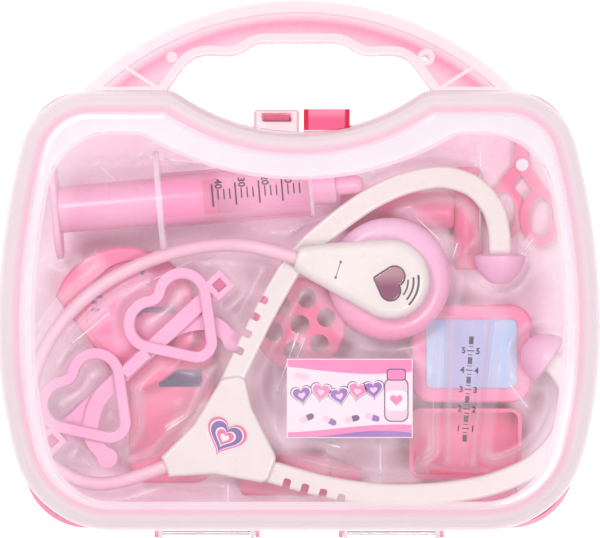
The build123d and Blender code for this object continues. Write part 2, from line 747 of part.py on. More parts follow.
with BuildPart() as yoke_back:
    add(yoke_half(arm_z - yoke_half_thickness, False))
    with BuildSketch(Plane.XY.offset(arm_z - yoke_half_thickness)):
        with Locations(yoke_screw_points):
            Circle(screw_radius)
    extrude(amount=yoke_half_thickness, mode=Mode.SUBTRACT)
    with BuildSketch(Plane.XY.offset(arm_z - yoke_half_thickness)):
        with Locations(yoke_screw_points):
            Circle(screw_head_radius)
    extrude(amount=screw_head_height, mode=Mode.SUBTRACT)
yoke_back.part.label = "yoke_back"
export_step(yoke_back.part, "parts/yoke_back.step")

with BuildPart() as yoke_screws:
    with BuildSketch(Plane.XY.offset(arm_z - yoke_half_thickness)):
        with Locations(yoke_screw_points):
            Circle(screw_radius)
    extrude(amount=screw_reach)
    with BuildSketch(Plane.XY.offset(arm_z - yoke_half_thickness)):
        with Locations(yoke_screw_points):
            Circle(screw_head_radius)
    extrude(amount=screw_head_height)
yoke_screws.part.label = "yoke_screws"
export_step(yoke_screws.part, "parts/yoke_screws.step")


def heart(width, spread=0.0):
    """A plump heart that points along -X; spread moves its edge outwards."""
    lobe = 0.29 * width
    with BuildSketch() as shape:
        for side in (-1, 1):
            with BuildSketch(mode=Mode.PRIVATE) as lobe_half:
                with Locations((0.12 * width, side * 0.21 * width)):
                    Circle(lobe + spread)
                with Locations((-0.36 * width, 0)):
                    Circle(0.06 * width + spread)
                make_hull()
            add(lobe_half.sketch)
    return shape.sketch


with BuildPart() as yoke_badge:
    badge_plane = Plane(origin=(*yoke_centre, arm_z + yoke_half_thickness))
    with BuildSketch(badge_plane.rotated((0, 0, 90 + badge_turn))):
        add(heart(badge_size))
    extrude(amount=badge_thickness)
yoke_badge.part.label = "yoke_badge"
export_step(yoke_badge.part, "parts/yoke_badge.step")

# ================================================================ stethoscope chest piece
chest_centre = (39.4, -3.9)
chest_radius = 26.8
chest_wall = 2.0
chest_low_z = upper_rest_z
chest_cover_z = arm_z + arm_thickness / 2 + part_gap
cover_height = 11.0
cover_wall = 1.6
cover_radius = 17.4
cover_edge_radius = 4.0
nose_centre = (3.6, 4.2)
nose_radius = 6.8
chest_back_radius = 20.0
chest_back_thickness = 1.8
chest_top_bore = 13.0
board_radius = cover_radius - cover_wall - part_gap
board_thickness = 1.2
speaker_radius = 12.0
speaker_height = 4.6
cell_radius = 5.8
cell_height = 5.4
button_size = 15.4
housing_low_radius = 5.0
housing_top_radius = 6.0
button_turn = -17.0
button_travel = 1.2
button_proud = 1.4
button_flange_radius = 9.6
button_flange_height = 1.5
button_stem_radius = 4.0
button_stem_height = 1.2
button_centre = (38.6, -5.2)
tube_z = chest_cover_z + cover_height / 2

yoke_tube_width = dist(yoke_tube_low, yoke_tube_high)
tube_out = (
    (yoke_tube_low[1] - yoke_tube_high[1]) / yoke_tube_width,
    (yoke_tube_high[0] - yoke_tube_low[0]) / yoke_tube_width,
)
tube_start = (
    (yoke_tube_low[0] + yoke_tube_high[0]) / 2,
    (yoke_tube_low[1] + yoke_tube_high[1]) / 2,
    arm_z,
)
nose_face = (-1.0, 5.2, tube_z)
tube_lead = 12.0        # straight out of the yoke
tube_route = [
    tube_start,
    (tube_start[0] + tube_lead * tube_out[0], tube_start[1] + tube_lead * tube_out[1], arm_z),
    (-85.5, -94.4, 39.4),
    (-101.0 * side_stretch, -91.2, 36.2),
    (-113.2 * side_stretch, -81.8, 34.3),
    (-118.6 * side_stretch, -66.5, 34.0),
    (-117.6 * side_stretch, -49.0, 34.1),
    (-110.6 * side_stretch, -31.2, 34.0),
    (-99.4 * side_stretch, -16.6, 34.2),
    (-84.6, -4.6, 34.0),
    (-67.6, 3.8, 34.1),
    (-50.2, 9.2, 38.2),
    (-32.4, 11.6, 45.6),
    (-16.0, 9.9, tube_z),
    nose_face,
]

with BuildPart() as acoustic_tube:
    with BuildLine() as tube_line:
        tube_radii = bend_radii(tube_route)
        FilletPolyline(*tube_route, radius=tube_radii)
    with BuildSketch(Plane(origin=tube_line.line @ 0, z_dir=tube_line.line % 0)):
        Circle(tube_radius)
    sweep()
acoustic_tube.part.label = "acoustic_tube"
export_step(acoustic_tube.part, "parts/acoustic_tube.step")
print("acoustic tube bend radii:", [round(radius, 1) for radius in tube_radii])
tube_length = sum(edge.length for edge in tube_line.edges())
print("acoustic tube length:", round(tube_length, 1),
      "volume over section:", round(acoustic_tube.part.volume / (pi * tube_radius**2), 1))

nose_out = Vector(*nose_face) - Vector(*tube_route[-2])
nose_plane = Plane(origin=nose_face, z_dir=nose_out)

with BuildPart() as chest_housing:
    with BuildSketch(Plane.XY.offset(chest_low_z)):
        with Locations(chest_centre):
            Circle(chest_radius)
    extrude(amount=chest_cover_z - chest_low_z)
    fillet(chest_housing.faces().sort_by(Axis.Z)[-1].edges(), radius=housing_top_radius)
    fillet(chest_housing.faces().sort_by(Axis.Z)[0].edges(), radius=housing_low_radius)
    with BuildSketch(Plane.XY.offset(chest_low_z + chest_back_thickness)):
        with Locations(chest_centre):
            Circle(chest_radius - 2 * chest_wall - chest_wall)
    extrude(amount=chest_cover_z - chest_low_z - chest_back_thickness - chest_wall,
            mode=Mode.SUBTRACT)
    with BuildSketch(Plane.XY.offset(chest_low_z)):
        with Locations(chest_centre):
            Circle(chest_back_radius + socket_gap)
    extrude(amount=chest_back_thickness, mode=Mode.SUBTRACT)
    with BuildSketch(Plane.XY.offset(chest_low_z)):
        with Locations(chest_centre):
            Circle(chest_top_bore)
    extrude(amount=chest_cover_z - chest_low_z, mode=Mode.SUBTRACT)
chest_housing.part.label = "chest_housing"
export_step(chest_housing.part, "parts/chest_housing.step")

with BuildPart() as chest_back_cover:
    with BuildSketch(Plane.XY.offset(chest_low_z)):
        with Locations(chest_centre):
            Circle(chest_back_radius)
            with PolarLocations(chest_back_radius / 2, 6):
                Circle(screw_radius, mode=Mode.SUBTRACT)
    extrude(amount=chest_back_thickness)
chest_back_cover.part.label = "chest_back_cover"
export_step(chest_back_cover.part, "parts/chest_back_cover.step")

button_plane = Plane(origin=(*button_centre, chest_cover_z)).rotated((0, 0, button_turn))
with BuildPart() as chest_cover:
    with BuildSketch(Plane.XY.offset(chest_cover_z)):
        with Locations(chest_centre):
            Circle(cover_radius)
        with Locations(nose_centre):
            Circle(nose_radius)
        make_hull()
    extrude(amount=cover_height)
    fillet(chest_cover.faces().sort_by(Axis.Z)[-1].edges(), radius=cover_edge_radius)
    split(bisect_by=nose_plane, keep=Keep.TOP)
    with BuildSketch(Plane.XY.offset(chest_cover_z)):
        with Locations(chest_centre):
            Circle(cover_radius - cover_wall)
    extrude(amount=cover_height - cover_wall, mode=Mode.SUBTRACT)
    with BuildSketch(button_plane):
        add(heart(button_size, part_gap))
    extrude(amount=cover_height, mode=Mode.SUBTRACT)
chest_cover.part.label = "chest_cover"
export_step(chest_cover.part, "parts/chest_cover.step")

button_flange_z = cover_height - cover_wall - part_gap - button_flange_height
with BuildPart() as heart_button:
    with BuildSketch(button_plane.offset(button_flange_z)):
        Circle(button_flange_radius)
    extrude(amount=button_flange_height)
    with BuildSketch(button_plane.offset(button_flange_z)):
        add(heart(button_size))
    extrude(amount=cover_height + button_proud - button_flange_z)
    fillet(heart_button.faces().sort_by(Axis.Z)[-1].edges(), radius=button_proud / 2)
    with BuildSketch(button_plane.offset(button_flange_z - button_stem_height)):
        Circle(button_stem_radius)
    extrude(amount=button_stem_height)
heart_button.part.label = "heart_button"
export_step(heart_button.part, "parts/heart_button.step")

with BuildPart() as sound_board:
    with BuildSketch(Plane.XY.offset(chest_cover_z)):
        with Locations(chest_centre):
            Circle(board_radius)
    extrude(amount=board_thickness)
sound_board.part.label = "sound_board"
export_step(sound_board.part, "parts/sound_board.step")

pad_height = (button_flange_z - button_stem_height - button_travel - part_gap
              - board_thickness)
with BuildPart() as switch_pad:
    with BuildSketch(Plane.XY.offset(chest_cover_z + board_thickness)):
        with Locations(button_centre):
            Circle(button_stem_radius + 1)
    extrude(amount=pad_height, taper=10)
switch_pad.part.label = "switch_pad"
export_step(switch_pad.part, "parts/switch_pad.step")

with BuildPart() as speaker:
    with BuildSketch(Plane.XY.offset(chest_cover_z - speaker_height)):
        with Locations(chest_centre):
            Circle(speaker_radius)
    extrude(amount=speaker_height, taper=-4)
speaker.part.label = "speaker"
export_step(speaker.part, "parts/speaker.step")

with BuildPart() as button_cells:
    with BuildSketch(Plane.XY.offset(chest_low_z + chest_back_thickness)):
        with Locations(chest_centre):
            with PolarLocations(cell_radius * 1.3, 3):
                Circle(cell_radius)
    extrude(amount=cell_height)
button_cells.part.label = "button_cells"
export_step(button_cells.part, "parts/button_cells.step")

# ================================================================ glasses
glasses_centre = (-71.5, -40.6)
glasses_turn = 42.9
glasses_lift = 6.6      # the folded temples lie under the front
glasses_low_z = upper_rest_z + glasses_lift
front_thickness = 4.5
rim_offset = 25.8       # from the bridge to the middle of a lens
rim_width = 4.9
rim_outer_edge_radius = 0.5
rim_inner_edge_radius = 1.0
lobe_x = 9.0
lobe_y = 7.5
lobe_radius = 12.5
point_y = -11.5
point_radius = 9.0
notch_fillet = 3.0
bridge_width = 14.0
bridge_height = 5.4
lug_size = 10.0
lug_x = 50.0
post_size = 3.8
temple_bend_radius = 24.0
temple_hook_radius = 12.0
temple_bend_share = 0.65   # of the way to the hook
temple_hook_share = 0.45
post_gap = 0.15
temple_width = 6.6
temple_thickness = 3.0
temple_tip_radius = 4.4
temple_tip = (-37.5, -22.0)     # of the temple that hangs from the +X lug


def glasses_plane(height):
    """Plane of the glasses: X runs along the frame, Y points to its brow."""
    return Plane(origin=(*glasses_centre, height)).rotated((0, 0, glasses_turn))


def rim_shape():
    """The outer outline of one rim: a soft heart of two lobe circles and a point circle."""
    run = dist((lobe_x, lobe_y), (0, point_y))
    heading = atan2(point_y - lobe_y, -lobe_x)
    lean = heading + acos((lobe_radius - point_radius) / run)
    lobe_touch = (lobe_x + lobe_radius * cos(lean), lobe_y + lobe_radius * sin(lean))
    point_touch = (point_radius * cos(lean), point_y + point_radius * sin(lean))
    with BuildSketch() as shape:
        with Locations((-lobe_x, lobe_y), (lobe_x, lobe_y)):
            Circle(lobe_radius)
        with Locations((0, point_y)):
            Circle(point_radius)
        with BuildLine():
            Polyline(
                (lobe_x, lobe_y),
                lobe_touch,
                point_touch,
                (-point_touch[0], point_touch[1]),
                (-lobe_touch[0], lobe_touch[1]),
                (-lobe_x, lobe_y),
                close=True,
            )
        make_face()
        fillet(shape.vertices().sort_by_distance((0, lobe_y + lobe_radius))[0], notch_fillet)
    return shape.sketch


rim_outer = rim_shape()
rim_inner = inset_outline(rim_outer, rim_width)
with BuildPart() as glasses_front:
    with BuildSketch(glasses_plane(glasses_low_z)):
        with Locations((-rim_offset, 0), (rim_offset, 0)):
            add(rim_outer)
        Rectangle(bridge_width, bridge_height)
        with Locations((-lug_x, 0), (lug_x, 0)):
            Rectangle(lug_size, lug_size)
        with Locations((-rim_offset, 0), (rim_offset, 0)):
            add(rim_inner, mode=Mode.SUBTRACT)
        with Locations((-lug_x, 0), (lug_x, 0)):
            Rectangle(post_size + 2 * post_gap, post_size + 2 * post_gap, mode=Mode.SUBTRACT)
    extrude(amount=front_thickness)
    brow_face = glasses_front.faces().sort_by(Axis.Z)[-1]
    fillet(brow_face.outer_wire().edges(), radius=rim_outer_edge_radius)
    brow_face = glasses_front.faces().sort_by(Axis.Z)[-1]
    lens_edges = [edge for wire in brow_face.inner_wires() for edge in wire.edges()]
    fillet(lens_edges, radius=rim_inner_edge_radius)
glasses_front.part.label = "glasses_front"
export_step(glasses_front.part, "parts/glasses_front.step")


def temple(side, top_z):
    """A folded temple with a hooked end and a square post that plugs into its lug."""
    hook_x = side * temple_tip[0]
    with BuildPart() as arm:
        with BuildLine(mode=Mode.PRIVATE) as centre_line:
            FilletPolyline(
                (side * (lug_x + post_size / 2), 0),
                (hook_x * temple_bend_share, 0),
                (hook_x, temple_tip[1] * temple_hook_share),
                (hook_x, temple_tip[1]),
                radius=[temple_bend_radius, temple_hook_radius],
            )
        with BuildSketch(glasses_plane(top_z - temple_thickness)):
            trace(centre_line.line, line_width=temple_width)
            with Locations((hook_x, temple_tip[1])):
                Circle(temple_tip_radius)
        extrude(amount=temple_thickness)
        with BuildSketch(glasses_plane(top_z)):
            with Locations((side * lug_x, 0)):
                Rectangle(post_size, post_size)
        extrude(amount=glasses_low_z + front_thickness - 1 - top_z)
    return arm.part


with BuildPart() as temple_right:
    add(temple(1, glasses_low_z))
temple_right.part.label = "temple_right"
export_step(temple_right.part, "parts/temple_right.step")

with BuildPart() as temple_left:
    add(temple(-1, glasses_low_z - temple_thickness - part_gap))
temple_left.part.label = "temple_left"
export_step(temple_left.part, "parts/temple_left.step")

# ================================================================ medicine box
box_low = (-5.3, -72.8)
box_size = (54.6, 34.3, 20.5)
box_card = 0.6
box_plane = Plane.XY.offset(tray_top_z)
with BuildPart() as medicine_box:
    with BuildSketch(box_plane):
        with Locations(box_low):
            Rectangle(box_size[0], box_size[1], align=Align.MIN)
    extrude(amount=box_size[2])
    with BuildSketch(box_plane.offset(box_card)):
        with Locations((box_low[0], box_low[1] + box_card)):
            Rectangle(box_size[0], box_size[1] - 2 * box_card, align=Align.MIN)
    extrude(amount=box_size[2] - 2 * box_card, mode=Mode.SUBTRACT)
medicine_box.part.label = "medicine_box"
export_step(medicine_box.part, "parts/medicine_box.step")

with BuildPart() as medicine_box_flaps:
    with BuildSketch(box_plane.offset(box_card)):
        for flap_x in (box_low[0], box_low[0] + box_size[0] - box_card):
            with Locations((flap_x, box_low[1] + box_card)):
                Rectangle(box_card, box_size[1] - 2 * box_card, align=Align.MIN)
    extrude(amount=box_size[2] - 2 * box_card)
medicine_box_flaps.part.label = "medicine_box_flaps"
export_step(medicine_box_flaps.part, "parts/medicine_box_flaps.step")

# ================================================================ measuring cup
cup_foot = (70.0, -87.4)
cup_lip = (74.4, -20.6)
cup_foot_radius = 14.2
cup_foot_thickness = 1.8
cup_low_radius = 7.6
cup_high_radius = 11.0
cup_lip_radius = 13.0
cup_lip_thickness = 1.4
cup_wall = 1.2
cup_length = dist(cup_foot, cup_lip)
cup_taper = degrees(atan2(cup_high_radius - cup_low_radius, cup_length))
cup_axis_z = tray_top_z + cup_foot_radius
cup_along = ((cup_lip[0] - cup_foot[0]) / cup_length, (cup_lip[1] - cup_foot[1]) / cup_length)


def cup_plane(station):
    """Plane square to the lying cup, at a distance from its foot."""
    start = (cup_foot[0] + station * cup_along[0], cup_foot[1] + station * cup_along[1],
             cup_axis_z)
    return Plane(origin=start, x_dir=(cup_along[1], -cup_along[0], 0),
                 z_dir=(cup_along[0], cup_along[1], 0))


with BuildPart() as measuring_cup:
    with BuildSketch(cup_plane(0)):
        Circle(cup_foot_radius)
    extrude(amount=cup_foot_thickness)
    fillet(measuring_cup.edges(), radius=cup_foot_thickness / 3)
    with BuildSketch(cup_plane(0)):
        Circle(cup_low_radius)
    extrude(amount=cup_length, taper=-cup_taper)
    with BuildSketch(cup_plane(cup_length - cup_lip_thickness)):
        Circle(cup_lip_radius)
    extrude(amount=cup_lip_thickness)
    with BuildSketch(cup_plane(cup_foot_thickness + cup_wall)):
        Circle(cup_low_radius - cup_wall)
    extrude(amount=cup_length, taper=-cup_taper, mode=Mode.SUBTRACT)
measuring_cup.part.label = "measuring_cup"
export_step(measuring_cup.part, "parts/measuring_cup.step")

# ================================================================ lower layer
floor_plane = Plane.XY.offset(lower_rest_z)
lower_wall = 1.6

viewer_low = (49.7, -58.4)
viewer_size = (52.8, 43.1)
viewer_height = 26.0
viewer_corner = 8.8
viewer_border = 6.2
viewer_recess = 1.6
hammer_head_edge_radius = 2.0
hammer_handle_edge_radius = 3.0
otoscope_edge_radius = 2.0
spatula_edge_radius = 0.8
dish_edge_radius = 1.5
cap_edge_radius = 2.0
meter_edge_radius = 2.0
thermometer_edge_radius = 2.5
viewer_edge_radius = 1.4
card_thickness = 0.6
viewer_centre = (viewer_low[0] + viewer_size[0] / 2, viewer_low[1] + viewer_size[1] / 2)
card_width = viewer_size[0] - 2 * viewer_border
card_depth = viewer_size[1] - 2 * viewer_border
with BuildPart() as picture_frame:
    with BuildSketch(floor_plane):
        with Locations(viewer_centre):
            RectangleRounded(*viewer_size, viewer_corner)
    extrude(amount=viewer_height)
    fillet(picture_frame.faces().sort_by(Axis.Z)[-1].edges(), radius=viewer_edge_radius)
    with BuildSketch(floor_plane):
        with Locations(viewer_centre):
            RectangleRounded(viewer_size[0] - 2 * lower_wall, viewer_size[1] - 2 * lower_wall,
                             viewer_corner - lower_wall)
    extrude(amount=viewer_height - viewer_recess - 2 * lower_wall, mode=Mode.SUBTRACT)
    with BuildSketch(floor_plane.offset(viewer_height - viewer_recess)):
        with Locations(viewer_centre):
            RectangleRounded(card_width, card_depth, viewer_corner / 3)
    extrude(amount=viewer_recess, mode=Mode.SUBTRACT)
picture_frame.part.label = "picture_frame"
export_step(picture_frame.part, "parts/picture_frame.step")

with BuildPart() as picture_card:
    with BuildSketch(floor_plane.offset(viewer_height - viewer_recess)):
        with Locations(viewer_centre):
            RectangleRounded(card_width - part_gap, card_depth - part_gap, viewer_corner / 3)
    extrude(amount=card_thickness)
picture_card.part.label = "picture_card"
export_step(picture_card.part, "parts/picture_card.step")

thermometer_low = (-76.0, -95.0)
thermometer_size = (38.0, 80.0)
thermometer_height = 12.8
thermometer_corner = 9.0
display_centre = (-52.8, -48.0)
display_size = (19.4, 7.9)
display_thickness = 1.2
thermometer_centre = (thermometer_low[0] + thermometer_size[0] / 2,
                      thermometer_low[1] + thermometer_size[1] / 2)
with BuildPart() as thermometer_body:
    with BuildSketch(floor_plane):
        with Locations(thermometer_centre):
            RectangleRounded(*thermometer_size, thermometer_corner)
    extrude(amount=thermometer_height)
    fillet(thermometer_body.faces().sort_by(Axis.Z)[-1].edges(), radius=thermometer_edge_radius)
    with BuildSketch(floor_plane):
        with Locations(thermometer_centre):
            RectangleRounded(thermometer_size[0] - 2 * lower_wall,
                             thermometer_size[1] - 2 * lower_wall,
                             thermometer_corner - lower_wall)
    extrude(amount=thermometer_height - 2 * lower_wall, mode=Mode.SUBTRACT)
    with BuildSketch(floor_plane.offset(thermometer_height - display_thickness)):
        with Locations(display_centre):
            Rectangle(*display_size)
    extrude(amount=display_thickness, mode=Mode.SUBTRACT)
thermometer_body.part.label = "thermometer_body"
export_step(thermometer_body.part, "parts/thermometer_body.step")

with BuildPart() as thermometer_display:
    with BuildSketch(floor_plane.offset(thermometer_height - display_thickness)):
        with Locations(display_centre):
            Rectangle(display_size[0] - part_gap, display_size[1] - part_gap)
    extrude(amount=display_thickness - part_gap)
thermometer_display.part.label = "thermometer_display"
export_step(thermometer_display.part, "parts/thermometer_display.step")

meter_centre = (-77.0, -21.5)
meter_radius = 32.0
meter_cut = 18.5        # from the centre to the straight lower-left side
meter_cut_turn = 217.0  # direction of that side
meter_height = 13.0
dial_radius = 22.0
dial_recess = 2.4
dial_thickness = 0.8
pointer_length = 17.0
pointer_width = 2.4
pointer_hub_radius = 3.2
pointer_thickness = 1.0
hub_pin_radius = 1.2
meter_plane = floor_plane.offset(thermometer_height + part_gap)


def meter_outline():
    """Round outline with one straight side."""
    cut_centre = meter_cut + meter_radius
    with BuildSketch() as outline:
        with Locations(meter_centre):
            Circle(meter_radius)
        cut_at = (meter_centre[0] + cut_centre * cos(radians(meter_cut_turn)),
                  meter_centre[1] + cut_centre * sin(radians(meter_cut_turn)))
        with Locations(cut_at):
            Rectangle(2 * meter_radius, 2 * meter_radius, rotation=meter_cut_turn,
                      mode=Mode.SUBTRACT)
    return outline.sketch


dial_shift = (5.0, 4.0)
dial_centre = (meter_centre[0] + dial_shift[0], meter_centre[1] + dial_shift[1])
with BuildPart() as pulse_meter_body:
    with BuildSketch(meter_plane):
        add(meter_outline())
    extrude(amount=meter_height)
    fillet(pulse_meter_body.faces().sort_by(Axis.Z)[-1].edges(), radius=meter_edge_radius)
    with BuildSketch(floor_plane) as standing_side:
        add(meter_outline())
        with Locations((thermometer_low[0] - part_gap, meter_centre[1])):
            Rectangle(2 * meter_radius, 3 * meter_radius, align=(Align.MIN, Align.CENTER),
                      mode=Mode.SUBTRACT)
    extrude(amount=thermometer_height + part_gap)
    with BuildSketch(meter_plane.offset(meter_height - dial_recess)):
        with Locations(dial_centre):
            Circle(dial_radius)
    extrude(amount=dial_recess, mode=Mode.SUBTRACT)
    with BuildSketch(meter_plane.offset(meter_height - dial_recess)):
        with Locations(dial_centre):
            Circle(hub_pin_radius)
    extrude(amount=dial_recess - part_gap)
pulse_meter_body.part.label = "pulse_meter_body"
export_step(pulse_meter_body.part, "parts/pulse_meter_body.step")

with BuildPart() as pulse_meter_dial:
    with BuildSketch(meter_plane.offset(meter_height - dial_recess)):
        with Locations(dial_centre):
            Circle(dial_radius - socket_gap)
            Circle(hub_pin_radius + socket_gap, mode=Mode.SUBTRACT)
    extrude(amount=dial_thickness)
pulse_meter_dial.part.label = "pulse_meter_dial"
export_step(pulse_meter_dial.part, "parts/pulse_meter_dial.step")

with BuildPart() as pulse_meter_pointer:
    with BuildSketch(meter_plane.offset(meter_height - dial_recess + dial_thickness + part_gap)):
        with Locations(dial_centre):
            Circle(pointer_hub_radius)
        with Locations((dial_centre[0] + pointer_length / 2, dial_centre[1])):
            Rectangle(pointer_length, pointer_width)
        with Locations(dial_centre):
            Circle(hub_pin_radius + running_gap, mode=Mode.SUBTRACT)
    extrude(amount=pointer_thickness)
pulse_meter_pointer.part.label = "pulse_meter_pointer"
export_step(pulse_meter_pointer.part, "parts/pulse_meter_pointer.step")

sieve_centre = (0.4, -24.1)
sieve_radius = 20.7
sieve_height = 19.0
sieve_hole_radius = 4.2
sieve_hole_circle = 12.0
with BuildPart() as perforated_cap:
    with BuildSketch(floor_plane):
        with Locations(sieve_centre):
            Circle(sieve_radius)
    extrude(amount=sieve_height)
    fillet(perforated_cap.faces().sort_by(Axis.Z)[-1].edges(), radius=cap_edge_radius)
    with BuildSketch(floor_plane):
        with Locations(sieve_centre):
            Circle(sieve_radius - 2 * lower_wall)
    extrude(amount=sieve_height - lower_wall, mode=Mode.SUBTRACT)
    with BuildSketch(floor_plane):
        with Locations(sieve_centre):
            Circle(sieve_hole_radius)
            with PolarLocations(sieve_hole_circle, 6, start_angle=15):
                Circle(sieve_hole_radius)
    extrude(amount=sieve_height, mode=Mode.SUBTRACT)
perforated_cap.part.label = "perforated_cap"
export_step(perforated_cap.part, "parts/perforated_cap.step")

dish_size = (49.8, 31.0)
dish_gap = 2.9          # below the picture frame
dish_low = (48.8, viewer_low[1] - dish_gap - dish_size[1])
dish_height = 20.0
dish_corner = 5.0
dish_centre = (dish_low[0] + dish_size[0] / 2, dish_low[1] + dish_size[1] / 2)
with BuildPart() as small_dish:
    with BuildSketch(floor_plane):
        with Locations(dish_centre):
            RectangleRounded(*dish_size, dish_corner)
    extrude(amount=dish_height)
    fillet(small_dish.faces().sort_by(Axis.Z)[0].edges(), radius=dish_edge_radius)
    with BuildSketch(floor_plane.offset(lower_wall)):
        with Locations(dish_centre):
            RectangleRounded(dish_size[0] - 2 * lower_wall, dish_size[1] - 2 * lower_wall,
                             dish_corner - lower_wall)
    extrude(amount=dish_height, mode=Mode.SUBTRACT)
small_dish.part.label = "small_dish"
export_step(small_dish.part, "parts/small_dish.step")

spatula_size = (64.0, 9.0)
spatula_gap = 3.2       # below the dish
spatula_low = (34.0, dish_low[1] - spatula_gap - spatula_size[1])
spatula_thickness = 3.0
with BuildPart() as tongue_spatula:
    with BuildSketch(floor_plane):
        with Locations((spatula_low[0] + spatula_size[0] / 2, spatula_low[1] + spatula_size[1] / 2)):
            SlotOverall(*spatula_size)
    extrude(amount=spatula_thickness)
    fillet(tongue_spatula.faces().sort_by(Axis.Z)[-1].edges(), radius=spatula_edge_radius)
tongue_spatula.part.label = "tongue_spatula"
export_step(tongue_spatula.part, "parts/tongue_spatula.step")

scope_x = (-26.0, 14.0)
scope_y = -91.0
scope_radius = 9.6
scope_cone_length = 14.0
scope_cone_tip = 3.0
scope_z = lower_rest_z + scope_radius
with BuildPart() as otoscope_handle:
    with BuildSketch(Plane.YZ.offset(scope_x[0])):
        with Locations((scope_y, scope_z)):
            Circle(scope_radius)
    extrude(amount=scope_x[1] - scope_x[0])
    fillet(otoscope_handle.edges(), radius=otoscope_edge_radius)
otoscope_handle.part.label = "otoscope_handle"
export_step(otoscope_handle.part, "parts/otoscope_handle.step")

cone_taper = degrees(atan2(scope_radius * 0.7 - scope_cone_tip, scope_cone_length))
with BuildPart() as otoscope_cone:
    with BuildSketch(Plane.YZ.offset(scope_x[1])):
        with Locations((scope_y, scope_z)):
            Circle(scope_radius * 0.7)
    extrude(amount=scope_cone_length, taper=cone_taper)
otoscope_cone.part.label = "otoscope_cone"
export_step(otoscope_cone.part, "parts/otoscope_cone.step")

hammer_y = 26.5
hammer_grip_x = (18.0, 69.0 * side_stretch)
hammer_grip_radius = 8.5
hammer_head_x = 75.0 * side_stretch
hammer_head_y = (0.0, 46.0)
hammer_head_radius = 6.0
hammer_z = lower_rest_z + hammer_grip_radius
with BuildPart() as reflex_hammer_handle:
    with BuildSketch(Plane.YZ.offset(hammer_grip_x[0])):
        with Locations((hammer_y, hammer_z)):
            Circle(hammer_grip_radius)
    extrude(amount=hammer_grip_x[1] - hammer_grip_x[0])
    fillet(reflex_hammer_handle.edges(), radius=hammer_handle_edge_radius)
reflex_hammer_handle.part.label = "reflex_hammer_handle"
export_step(reflex_hammer_handle.part, "parts/reflex_hammer_handle.step")

with BuildPart() as reflex_hammer_head:
    with BuildSketch(Plane.XZ.offset(-hammer_head_y[0])):
        with Locations((hammer_head_x, hammer_z)):
            Circle(hammer_head_radius)
    extrude(amount=-(hammer_head_y[1] - hammer_head_y[0]))
    fillet(reflex_hammer_head.edges(), radius=hammer_head_edge_radius)
reflex_hammer_head.part.label = "reflex_hammer_head"
export_step(reflex_hammer_head.part, "parts/reflex_hammer_head.step")

# ---------------------------------------------------------------- scissors
rivet_at = (99.5 * side_stretch, 47.0)
rivet_radius = 1.6
rivet_head_radius = 2.8
rivet_head_height = 0.8
blade_thickness = 3.2
blade_width = 7.0
ring_size = (18.0, 25.0)
ring_hole = (10.6, 18.0)
ring_left_at = (91.6 * side_stretch, 26.0)
ring_right_at = (107.8 * side_stretch, 23.5)
blade_tip_rise = 20.0


def scissor_half(ring_at, blade_lean, z_low):
    """One half: an oval finger ring, a shank past the rivet and a blade; z_low is its underside."""
    with BuildPart() as half:
        with BuildSketch(Plane.XY.offset(z_low)):
            with BuildLine(mode=Mode.PRIVATE) as shank:
                Line((ring_at[0], ring_at[1] + ring_size[1] / 2 - 1), rivet_at)
            trace(shank.line, line_width=blade_width * 0.8)
            with Locations(rivet_at):
                Circle(blade_width / 2)
            with BuildLine():
                Polyline(
                    (rivet_at[0] - blade_width / 2, rivet_at[1]),
                    (rivet_at[0] + blade_width / 2, rivet_at[1]),
                    (rivet_at[0] + blade_lean + 1, rivet_at[1] + blade_tip_rise),
                    (rivet_at[0] + blade_lean - 1, rivet_at[1] + blade_tip_rise),
                    close=True,
                )
            make_face()
            with Locations(ring_at):
                Ellipse(ring_size[0] / 2, ring_size[1] / 2)
                Ellipse(ring_hole[0] / 2, ring_hole[1] / 2, mode=Mode.SUBTRACT)
            with Locations(rivet_at):
                Circle(rivet_radius + running_gap, mode=Mode.SUBTRACT)
        extrude(amount=blade_thickness)
    return half.part


scissor_low_z = lower_rest_z + rivet_head_height + part_gap
scissor_high_z = scissor_low_z + blade_thickness + part_gap
with BuildPart() as scissors_lower:
    add(scissor_half(ring_left_at, 1.5, scissor_low_z))
scissors_lower.part.label = "scissors_lower"
export_step(scissors_lower.part, "parts/scissors_lower.step")

with BuildPart() as scissors_upper:
    add(scissor_half(ring_right_at, -1.5, scissor_high_z))
scissors_upper.part.label = "scissors_upper"
export_step(scissors_upper.part, "parts/scissors_upper.step")

with BuildPart() as scissors_rivet:
    with BuildSketch(floor_plane):
        with Locations(rivet_at):
            Circle(rivet_radius)
    extrude(amount=scissor_high_z + blade_thickness + part_gap + rivet_head_height - lower_rest_z)
    with BuildSketch(floor_plane):
        with Locations(rivet_at):
            Circle(rivet_head_radius)
    extrude(amount=rivet_head_height)
    with BuildSketch(Plane.XY.offset(scissor_high_z + blade_thickness + part_gap)):
        with Locations(rivet_at):
            Circle(rivet_head_radius)
    extrude(amount=rivet_head_height)
scissors_rivet.part.label = "scissors_rivet"
export_step(scissors_rivet.part, "parts/scissors_rivet.step")
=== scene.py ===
from math import cos, pi, radians, sin, tau

